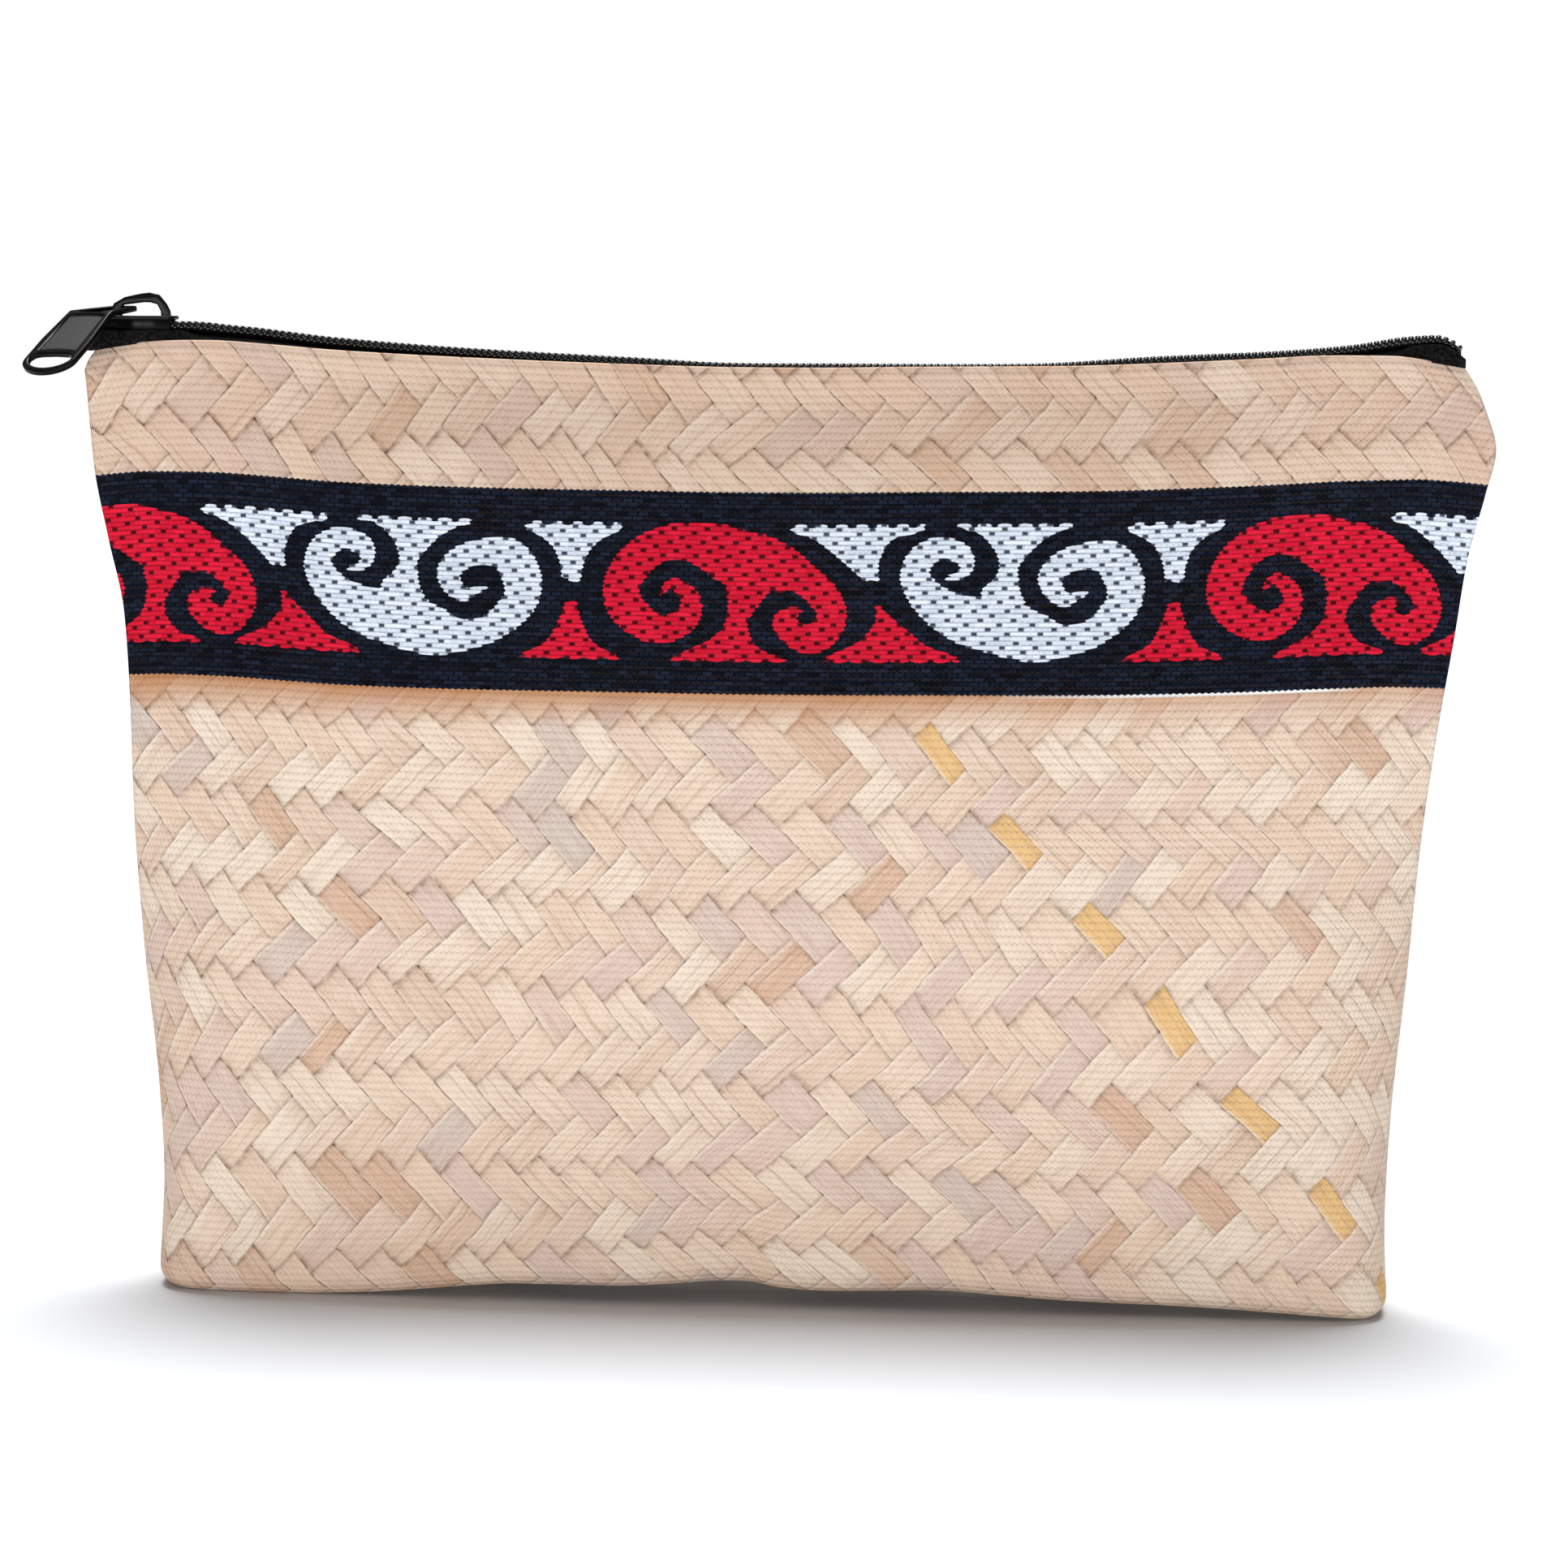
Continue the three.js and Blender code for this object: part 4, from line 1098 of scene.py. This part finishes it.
@dataclass(frozen=True)
class Panel:
    """One printed panel: half of the base, the fold, the wall and the turned top edge."""

    form: PouchForm
    side: Side
    canvas: PrintedCanvas
    koru: KoruBand
    shift: float
    band: tuple = (100.0, 143.0)  # rows are finer here
    outer_steps: tuple = (2.2, 0.62, 1.6)  # between rows below, in and above it
    inner_steps: tuple = (9, 9, 3)
    roll: float = 0.5  # how far the side edge turns in to the seam
    roll_print: tuple = (0.5, 1.2)  # how far past the edge the print runs on it

    def levels(self, steps: tuple) -> np.ndarray:
        """Gives the heights of the wall's rows.

        Args:
            steps: Distance between rows below, in and above the band.
        Returns:
            The heights in rising order.
        """
        low, high = self.band
        stops = (self.form.base_fold, low, high, self.form.rim_height)
        parts = [
            np.linspace(start, end, round((end - start) / step) + 1)[1:]
            for start, end, step in zip(stops[:-1], stops[1:], steps)
        ]
        return np.concatenate(parts)

    def rows(self) -> tuple[np.ndarray, np.ndarray]:
        """Goes round the whole thickness of the panel.

        Returns:
            The rows of points, and each row's height on the print.
        """
        form = self.form
        levels, inner_levels = self.levels(self.outer_steps), self.levels(self.inner_steps)
        outer, outer_v = form.wall(0, levels, np.arange(0, 91, 10), (0, 0.3, 0.6, 0.9))
        inner, _ = form.wall(form.cloth, inner_levels, np.arange(0, 91, 30), (0, 0.5))
        middle, spread = (outer[-1] + inner[-1]) / 2, (outer[-1] - inner[-1]) / 2
        crown = [
            middle + spread * math.cos(t) + np.array([0, 0, form.rim_crown * math.sin(t)])
            for t in np.radians((40, 90, 140))
        ]
        around = np.concatenate([outer, crown, inner[::-1]])
        rim = form.rim_height
        steps = np.linalg.norm(np.diff(inner[::-1, form.columns // 2], axis=0), axis=1)
        inside = rim + form.cloth + np.concatenate(([0], np.cumsum(steps)))
        height = np.concatenate([outer_v, rim + form.cloth * np.array([0.25, 0.5, 0.75]), inside])
        return around, height

    def build(self, material: bpy.types.Material) -> bpy.types.Object:
        """Builds the panel.

        Args:
            material: What it is made of.
        Returns:
            The piece.
        """
        rows, height = self.rows()
        across = rows[..., 0]
        steps = np.linalg.norm(np.diff(rows[..., :2], axis=1), axis=2)
        along = np.concatenate([np.zeros((len(rows), 1)), np.cumsum(steps, axis=1)], axis=1)
        middle = np.array([np.interp(0, across[k], along[k]) for k in range(len(rows))])
        along -= middle[:, None]
        seam = -self.form.seam_gap / 2
        for end, inwards in ((0, 1), (-1, -1)):
            last = rows[:, end]
            turned = last + np.array([inwards * self.roll, 0, 0])
            turned[:, 1] = seam
            half = (last + turned) / 2 - np.array([inwards * self.roll * 0.3, 0, 0])
            extra = np.stack([half, turned], 1)
            more = along[:, [end, end]] - np.array([self.roll_print]) * inwards
            if end == 0:
                rows = np.concatenate([extra[:, ::-1], rows], 1)
                along = np.concatenate([more[:, ::-1], along], 1)
            else:
                rows = np.concatenate([rows, extra], 1)
                along = np.concatenate([along, more], 1)
        rows = rows * np.array([1, self.side.value, 1]) + np.array([self.shift, 0, 0])
        u = along * self.side.value
        v = np.repeat(height[:, None], u.shape[1], 1)
        places = np.stack([u / self.canvas.span + 0.5, v / self.canvas.span + self.canvas.foot], -1)
        bm = skin(rows, wrap=True, maps={"uv": places, **self.koru.maps(u, v)})
        name = f"{self.side.name.lower()}_cloth"
        piece = finish_piece(name, bm, material)
        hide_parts(f"{self.side.name.lower()}_panel")
        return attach(piece, "pouch")


@dataclass(frozen=True)
class Tape:
    """One of the two woven tapes that carry the teeth."""

    line: ZipLine
    side: Side
    shift: float
    thickness: float = 0.5
    reach: float = 4.2
    skirt: float = 7
    lip: float = 0.3
    seat_gap: float = 0.3
    ease: float = 0.1
    split: float = 0.35
    post_half: float = 1.2
    post_clear: float = 0.3
    lead: float = 1.2  # how far the tapes stand out past the slider's nose
    clear: float = 1  # of the slider's rear before they fold down
    parted: float = 0.925  # share of the mouth where they leave the rims again
    taper: float = 4
    under: float = 0.8  # teeth's middle down to the tape that they are sewn on
    settle: float = 0.35  # how far its ends sink between the two rims
    step: float = 0.6

    def build(self, material: bpy.types.Material) -> bpy.types.Object:
        """Builds the tape.

        Args:
            material: What it is made of.
        Returns:
            The piece.
        """
        line, form, taper = self.line, self.line.form, self.taper
        nose = line.slider_place - line.slider_length / 2
        start, post_end = nose - self.lead, nose + line.post_length + line.fit_gap
        left = line.slider_place + line.slider_length / 2 + self.clear
        right = line.mouth_right * self.parted
        x = np.linspace(start, line.end, round((line.end - start) / self.step))
        inside = smooth(x, left, left + taper) * (1 - smooth(x, right - taper, right))
        parting = 1 - smooth(x, post_end, post_end + taper)
        narrow = smooth(x, left - taper, left) * (1 - smooth(x, right, right + taper))
        near = self.split + (self.post_half + self.post_clear - self.split) * parting
        lip = [form.face_row(form.rim_height - down, 0, form.cloth) for down in (self.skirt / 2, 0)]
        inner = np.min([np.interp(x, row[:, 0], -row[:, 1]) for row in lip], axis=0)
        snug = np.minimum(self.reach, inner - self.seat_gap - self.ease)
        far = self.reach + (snug - self.reach) * narrow
        top = line.centre(x) - self.under
        drop = inside * np.maximum(0, top - (form.rim_at(x / line.mouth_right) - form.cloth))
        t = self.thickness
        rim = form.rim_at(x / np.where(x < 0, line.mouth_left, line.mouth_right))
        to_rim = np.maximum(self.lip, top - t - rim - form.rim_crown + self.settle)
        skirt = to_rim + (self.skirt - to_rim) * inside
        rings = [
            (-near, top),
            (-far + t, top - drop * 0.35),
            (-far + 0.15, top - drop * 0.85),
            (-far, top - drop - 0.1),
            (-far, top - drop - t - skirt),
            (-far + t, top - drop - t - skirt),
            (-far + t, top - drop * 0.6 - t),
            (-near, top - t),
        ]
        rows = np.array([np.column_stack([x + self.shift, y * self.side.value, z]) for y, z in rings])
        piece = finish_piece(f"{self.side.name.lower()}_tape", skin(rows, wrap=True), material)
        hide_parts(f"zip_tape_{self.side.name.lower()}")
        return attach(piece, "pouch")


@dataclass(frozen=True)
class Teeth:
    """Both rows of a closed nylon coil, as bent rods."""

    line: ZipLine
    shift: float
    pitch: float = 1.15
    rod: float = 0.36
    half_width: float = 2.4
    half_height: float = 0.8
    inset: float = 0.4  # the first rod from where the zip begins
    cord: float = 1.7  # half the width of the cord that the coil is wound on
    cord_top: float = 0.3
    cord_foot: float = -0.8
    cord_end: float = 0.2
    cord_step: float = 1.0

    def tooth(self) -> bmesh.types.BMesh:
        """Makes one rod, bent round from under the tape's edge to the middle.

        Returns:
            The rod, at the origin.
        """
        far, high = -self.half_width + self.rod, self.half_height - self.rod
        lean = self.pitch * 0.5
        path = np.array([
            (lean * 0.9, 0.35, high),
            (lean * 0.6, far * 0.6, high),
            (lean * 0.3, far * 0.95, high * 0.7),
            (0, far, 0),
            (-lean * 0.3, far * 0.95, -high * 0.7),
            (-lean * 0.6, far * 0.5, -high),
        ])
        ahead = np.gradient(path, axis=0)
        ahead /= np.linalg.norm(ahead, axis=1)[:, None]
        side = np.cross(ahead, (1, 0, 0))
        side /= np.linalg.norm(side, axis=1)[:, None]
        other = np.cross(ahead, side)
        turns = np.radians(np.arange(0, 360, 60))
        rows = np.array([path + self.rod * (side * math.cos(t) + other * math.sin(t)) for t in turns])
        return skin(rows, wrap=True)

    def inner_cord(self) -> bmesh.types.BMesh:
        """Makes the cord that the coil is wound on.

        Returns:
            The cord, in its place.
        """
        x = np.arange(self.line.start + self.cord_end, self.line.end - self.cord_end, self.cord_step)
        middle = self.line.centre(x)
        ring = (
            (-self.cord, self.cord_foot), (-self.cord, self.cord_top),
            (self.cord, self.cord_top), (self.cord, self.cord_foot),
        )
        rows = [np.column_stack([x + self.shift, np.full(len(x), y), middle + z]) for y, z in ring]
        return skin(np.array(rows), wrap=True)

    def build(self, material: bpy.types.Material) -> bpy.types.Object:
        """Builds all the teeth, and the cord inside them, as one piece.

        Args:
            material: What they are made of.
        Returns:
            The piece.
        """
        tooth = bpy.data.meshes.new("tooth")
        single = self.tooth()
        single.to_mesh(tooth)
        single.free()
        bm = bmesh.new()
        count = round((self.line.end - self.line.start - self.inset) / self.pitch)
        for k in range(count):
            for half_turn, late in ((0, 0.0), (math.pi, 0.5)):
                x = self.line.start + self.inset + (k + late) * self.pitch
                heights = self.line.centre(np.array([x - 0.5, x + 0.5]))
                before = len(bm.verts)
                bm.from_mesh(tooth)
                bm.verts.ensure_lookup_table()
                place = (
                    Matrix.Translation((x + self.shift, 0, float(heights.mean())))
                    @ Matrix.Rotation(-math.atan(heights[1] - heights[0]), 4, "Y")
                    @ Matrix.Rotation(half_turn, 4, "Z")
                )
                bmesh.ops.transform(bm, matrix=place, verts=bm.verts[before:])
        bpy.data.meshes.remove(tooth)
        merge(bm, self.inner_cord())
        piece = finish_piece("zip_teeth", bm, material)
        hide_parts("zip_coil")
        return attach(piece, "pouch")


@dataclass(frozen=True)
class Slider:
    """The slider's body, and the frame that it and the pull stand in."""

    line: ZipLine
    shift: float
    nose_half: float = 4
    rear_half: float = 3.3
    plate: float = 0.7
    sole: float = 0.5
    crown_left: float = -1.5
    crown_right: float = 7
    crown_thickness: float = 1.7
    crown_breadth: float = 1.2
    crown_rise: float = 0.3
    teeth_half: float = 0.8
    tape: float = 0.5
    bar_clear: float = 0.3
    sole_trim: float = 0.5
    rail_reach: float = 0.31  # half a rail's length, as a share of the slider's
    rail_behind: float = 0.15  # its middle behind the slider's, as a share of that length
    rail_half: float = 0.3
    rail_inset: float = 0.35
    post_radius: float = 1.2

    @property
    def plate_top(self) -> float:
        """Top of the upper plate above the teeth's middle."""
        return self.teeth_half + self.line.fit_gap + self.plate

    @property
    def sole_bottom(self) -> float:
        """Underside of the lower plate."""
        return -(self.teeth_half + self.line.fit_gap + self.tape + self.line.fit_gap + self.sole)

    def place(self) -> Matrix:
        """Gives the slider's frame."""
        centre = float(self.line.centre(self.line.slider_place))
        return Matrix.Translation((self.line.slider_place + self.shift, 0, centre)) @ Matrix.Rotation(
            -self.line.slope, 4, "Y"
        )

    def outline(self, trim: float) -> list:
        """Draws a plate seen from above, widest at the nose.

        Args:
            trim: How far inside the full outline.
        Returns:
            The outline's points.
        """
        front, rear = -self.line.slider_length / 2 + trim, self.line.slider_length / 2 - trim
        nose, tail = self.nose_half - trim, self.rear_half - trim
        side = [
            (rear, 0.0), (rear, tail - 1), (rear - 0.3, tail - 0.3), (rear - 1, tail), (0, tail),
            (front + 5.4, tail + 0.15), (front + 4.2, nose - 0.1), (front + 2.4, nose - 0.25),
            (front + 0.9, nose * 0.75), (front, nose * 0.35),
        ]
        return side + [(x, -y) for x, y in side[:0:-1]]

    def build(self, pull: "Pull", material: bpy.types.Material) -> bpy.types.Object:
        """Builds the slider's body.

        Args:
            pull: The pull that hangs on its crown.
            material: What it is made of.
        Returns:
            The piece.
        """
        bm = plate([self.outline(0)], self.plate, 0.2)
        bmesh.ops.translate(bm, vec=(0, 0, self.plate_top - self.plate / 2), verts=bm.verts)
        sole = plate([self.outline(self.sole_trim)], self.sole, 0.12)
        merge(bm, sole, Matrix.Translation((0, 0, self.sole_bottom + self.sole / 2)))
        length, wide = self.line.slider_length, self.rail_half
        long = length * self.rail_reach
        high, low = self.plate_top - 0.15 * self.plate, -self.teeth_half - 0.05
        for sign in (-1, 1):
            place = (length * self.rail_behind, sign * (self.rear_half - self.rail_inset), (high + low) / 2)
            rail = plate([[(-long, -wide), (long, -wide), (long, wide), (-long, wide)]], high - low, 0.12)
            merge(bm, rail, Matrix.Translation(place))
        radius, middle = self.post_radius, (self.plate_top + self.sole_bottom) / 2
        tall = self.plate_top - self.sole_bottom - 0.2
        post = plate([arc((0, 0), (radius, radius), 0, 345, 23)], tall, 0.05)
        merge(bm, post, Matrix.Translation((-length / 2 + radius, 0, middle)))
        merge(bm, self.crown(pull.bar_height + pull.thickness / 2))
        bmesh.ops.transform(bm, matrix=self.place(), verts=bm.verts)
        piece = finish_piece("slider", bm, material)
        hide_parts("slider_body")
        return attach(piece, "pouch")

    def crown(self, bar_top: float) -> bmesh.types.BMesh:
        """Makes the strap that the pull hooks on, bent over the upper plate.

        Args:
            bar_top: Top of the pull's cross bar.
        Returns:
            The strap.
        """
        foot = self.plate_top - self.plate / 2
        low = bar_top + self.bar_clear
        high = low + self.crown_rise
        t = self.crown_thickness
        left, right = self.crown_left - t / 2, self.crown_right + t / 2
        reach = right - left
        outline = [
            (left - 0.2, foot), (left - 0.1, low - 0.9), (left + 0.3, low + 0.1),
            (left + 1.3 * t, low + 0.7 * t), (left + reach * 0.5, high + 0.9 * t),
            (right - 2.2 * t, high + t), (right - 1.2 * t, high + 0.75 * t),
            (right - 0.45 * t, high - 0.3), (right - 0.12 * t, high - 1.4), (right, foot),
            (right - t, foot), (right - 1.06 * t, high - 1.5), (right - 1.4 * t, high - 0.35),
            (right - 2.1 * t, high - 0.03), (left + reach * 0.55, high), (left + 1.9 * t, low),
            (left + 1.2 * t, low - 0.15), (left + t, low - 0.7), (left + t, foot),
        ]
        bm = plate([outline], self.crown_breadth, 0.3)
        bmesh.ops.rotate(bm, matrix=Matrix.Rotation(math.pi / 2, 3, "X"), verts=bm.verts)
        return bm


@dataclass(frozen=True)
class Pull:
    """The pull: a slotted head bent down to a blade with a finger hole."""

    slider: Slider
    turn: float = -30.5
    width: float = 11.2
    neck: float = 9.5
    head: float = 6
    length: float = 26
    thickness: float = 1.0
    slot: float = 8.6
    head_droop: float = 5.5
    blade_droop: float = 37
    bar_lift: float = 1.2  # the cross bar's middle above the plate
    rim: float = 1.25
    tip: float = 3.6  # how long the rounded end is
    hole: float = 3.9
    recess: float = 0.3
    bar_behind: float = 1.6

    @property
    def bar_height(self) -> float:
        """Height of the cross bar's middle in the slider's frame."""
        return self.slider.plate_top + self.bar_lift

    def outlines(self) -> tuple:
        """Draws the pull laid flat, its cross bar along X and its tip towards -Y.

        Returns:
            The outline, the slot, the recess and the finger hole.
        """
        top, neck, half, bar = self.head / 2, self.neck / 2, self.width / 2, self.thickness / 2
        foot = -self.length + bar
        full = -self.slot - (self.length - self.slot) * 0.45
        right = [
            (top - 0.9, bar), (top - 0.25, bar - 0.25), (top, -1),
            (neck, -self.slot + 1), (neck + 0.1, -self.slot - 1), (half, full),
        ]
        end = arc((0, foot + self.tip), (half, self.tip), 0, -180, 24)
        outline = right + end + [(-x, y) for x, y in right[::-1]]
        slot_top, slot_foot = top - self.rim * 0.8, neck - self.rim
        slot_side = [
            (slot_top - 0.4, -bar), (slot_top, -bar - 0.5), (slot_foot, -self.slot + 1),
            (slot_foot - 0.3, -self.slot + 0.3), (slot_foot - 1, -self.slot),
        ]
        slot = slot_side + [(-x, y) for x, y in slot_side[::-1]]
        hole_top = foot + self.rim + self.hole
        hole_half = half - self.rim * 0.8
        hole = [(hole_half - 1.6, hole_top - 0.15), (hole_half - 0.5, hole_top - 0.45)]
        hole += arc((0, hole_top - 1.2), (hole_half, self.hole - 1.2), 0, -180, 20)
        hole += [(-hole_half + 0.5, hole_top - 0.45), (-hole_half + 1.6, hole_top - 0.15), (0, hole_top)]
        recess_top, recess_foot = -self.slot - 1.1, hole_top + 1.0
        recess_half = neck - 1.0
        recess = [
            (-recess_half, recess_top), (-recess_half * 0.5, recess_top + 0.2), (0, recess_top + 0.28),
            (recess_half * 0.5, recess_top + 0.2), (recess_half, recess_top),
            (recess_half + 0.35, recess_foot), (recess_half * 0.5, recess_foot + 0.35),
            (0, recess_foot + 0.45), (-recess_half * 0.5, recess_foot + 0.35),
            (-recess_half - 0.35, recess_foot),
        ]
        return outline, slot, recess, hole

    def build(self, material: bpy.types.Material, sunk: bpy.types.Material) -> bpy.types.Object:
        """Builds the pull.

        Args:
            material: What it is made of.
            sunk: The finish on the sunk face, grey with a painted sheen.
        Returns:
            The piece.
        """
        outline, slot, recess, hole = self.outlines()
        face = self.thickness - self.recess
        bm = plate([outline, slot, hole], face, 0.2)
        # The sunk face's upward faces take the second finish, whose grey is a painted sheen.
        for piece_face in bm.faces:
            piece_face.material_index = int(piece_face.normal.z > 0.99)
        bmesh.ops.translate(bm, vec=(0, 0, -self.recess / 2), verts=bm.verts)
        merge(bm, plate([outline, slot, recess, hole], self.thickness, 0.28))
        fold = Vector((0, -self.slot, 0))
        faces = [*bm.verts, *bm.edges, *bm.faces]
        bmesh.ops.bisect_plane(bm, geom=faces, dist=0.001, plane_co=fold, plane_no=(0, 1, 0))
        bend = Matrix.Rotation(math.radians(self.blade_droop - self.head_droop), 3, "X")
        blade = [vertex for vertex in bm.verts if vertex.co.y < -self.slot - 0.002]
        bmesh.ops.rotate(bm, cent=fold, matrix=bend, verts=blade)
        axis = math.sin(math.radians(self.turn))
        hooked = (self.slider.crown_left - axis * self.bar_behind, self.bar_behind, self.bar_height)
        place = (
            self.slider.place()
            @ Matrix.Translation(hooked)
            @ Matrix.Rotation(math.radians(self.turn), 4, "Z")
            @ Matrix.Rotation(math.radians(self.head_droop), 4, "X")
        )
        bmesh.ops.transform(bm, matrix=place, verts=bm.verts)
        piece = finish_piece("pull", bm, material)
        piece.data.materials.append(sunk)
        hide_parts("pull_tab")
        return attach(piece, "pull")


# Studio


@dataclass(frozen=True)
class Studio:
    """The camera, the soft lights and the white floor."""

    target: tuple = (1.1, -6.0, 88.6)  # from the pouch's own middle
    shift: float = 0.0
    yaw: float = 2.8
    elevation: float = 5.0
    distance: float = 950.0
    roll: float = 1.1
    lens: float = 127.45
    sensor: float = 36.0
    ambient: float = 0.14
    lamps: tuple = (("key", (-0.55, -1.6, 0.11), 8.8), ("fill", (0.6, -1.6, 0.11), 8.1))  # metres, watts
    lamp_size: tuple = (1.1, 0.18)  # metres
    aim: tuple = (0, 0, 0.08)  # metres
    sky_power: float = 4.8
    sky_spread: float = 36  # degrees
    sky_from: tuple = (-0.02, 0.38, 1.0)
    floor_half: float = 4000

    def camera(self) -> None:
        """Places the camera in front, a little above and to the right, and leant a little."""
        yaw, rise, roll = (math.radians(a) for a in (self.yaw, self.elevation, self.roll))
        out = Vector((math.sin(yaw) * math.cos(rise), -math.cos(yaw) * math.cos(rise), math.sin(rise)))
        right = (-out).cross(Vector((0, 0, 1))).normalized()
        up = right.cross(-out)
        turned_right = right * math.cos(roll) + up * math.sin(roll)
        turned_up = up * math.cos(roll) - right * math.sin(roll)
        place = Matrix((turned_right, turned_up, out)).transposed().to_4x4()
        place.translation = (Vector(self.target) + Vector((self.shift, 0, 0)) + out * self.distance) * MM
        data = bpy.data.cameras.new("camera")
        data.lens, data.sensor_width, data.clip_start = self.lens, self.sensor, 0.01
        camera = bpy.data.objects.new("camera", data)
        camera.matrix_world = place
        bpy.context.scene.collection.objects.link(camera)
        bpy.context.scene.camera = camera

    def lamp(self, name: str, place: tuple, power: float) -> None:
        """Adds a soft rectangular lamp.

        Args:
            name: The lamp's name.
            place: Where it stands, in metres.
            power: Its power in watts.
        """
        data = bpy.data.lights.new(name, "AREA")
        data.shape, data.size, data.size_y, data.energy = "RECTANGLE", *self.lamp_size, power
        lamp = bpy.data.objects.new(name, data)
        lamp.location = place
        lamp.rotation_euler = (Vector(self.aim) - Vector(place)).to_track_quat("-Z", "Y").to_euler()
        bpy.context.scene.collection.objects.link(lamp)

    def build(self) -> None:
        """Sets the camera, lights, world and floor."""
        self.camera()
        scene = bpy.context.scene
        scene.view_settings.view_transform = "Standard"
        world = bpy.data.worlds.new("studio")
        world.use_nodes = True
        nodes, links = world.node_tree.nodes, world.node_tree.links
        ray, power = nodes.new("ShaderNodeLightPath"), nodes.new("ShaderNodeMath")
        power.operation = "MULTIPLY_ADD"
        power.inputs[1].default_value, power.inputs[2].default_value = 1 - self.ambient, self.ambient
        links.new(ray.outputs["Is Camera Ray"], power.inputs[0])
        links.new(power.outputs[0], nodes["Background"].inputs[1])
        nodes["Background"].inputs[0].default_value = (1, 1, 1, 1)
        scene.world = world
        for name, place, power in self.lamps:
            self.lamp(name, place, power)
        sky = bpy.data.lights.new("sky", "SUN")
        sky.energy, sky.angle = self.sky_power, math.radians(self.sky_spread)
        lamp = bpy.data.objects.new("sky", sky)
        lamp.rotation_euler = Vector(self.sky_from).to_track_quat("Z", "Y").to_euler()
        scene.collection.objects.link(lamp)
        bm = bmesh.new()
        bmesh.ops.create_grid(bm, x_segments=1, y_segments=1, size=self.floor_half)
        finish_piece("floor", bm, PAPER.make())


def main() -> None:
    """Builds and reports every piece."""
    form = PouchForm()
    low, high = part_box("front_panel")
    heights = form.rim_height * np.linspace(0.85, 1, 60)
    ends = np.array([form.face_row(height, 0, 0)[[0, -1], 0] for height in heights])
    shift = (low.x + high.x) / 2 / MM - (ends[:, 0].min() + ends[:, 1].max()) / 2
    log.info("shift %.3f", shift)
    Studio(shift=shift).build()
    line = ZipLine(form)
    koru = KoruBand()
    canvas = PrintedCanvas(koru.height)
    cloth = canvas.make()
    tape, nylon, enamel, sheen_enamel = TAPE.make(), NYLON.make(), ENAMEL.make(), SHEEN_PAINTED_ENAMEL.make()
    for side in Side:
        log.info("%s", Panel(form, side, canvas, koru, shift).build(cloth).name)
        log.info("%s", Tape(line, side, shift).build(tape).name)
    log.info("%s", Teeth(line, shift).build(nylon).name)
    slider = Slider(line, shift)
    pull = Pull(slider)
    log.info("%s", slider.build(pull, enamel).name)
    log.info("%s", pull.build(enamel, sheen_enamel).name)


if __name__ == "__main__":
    logging.basicConfig(level=logging.INFO)
    main()
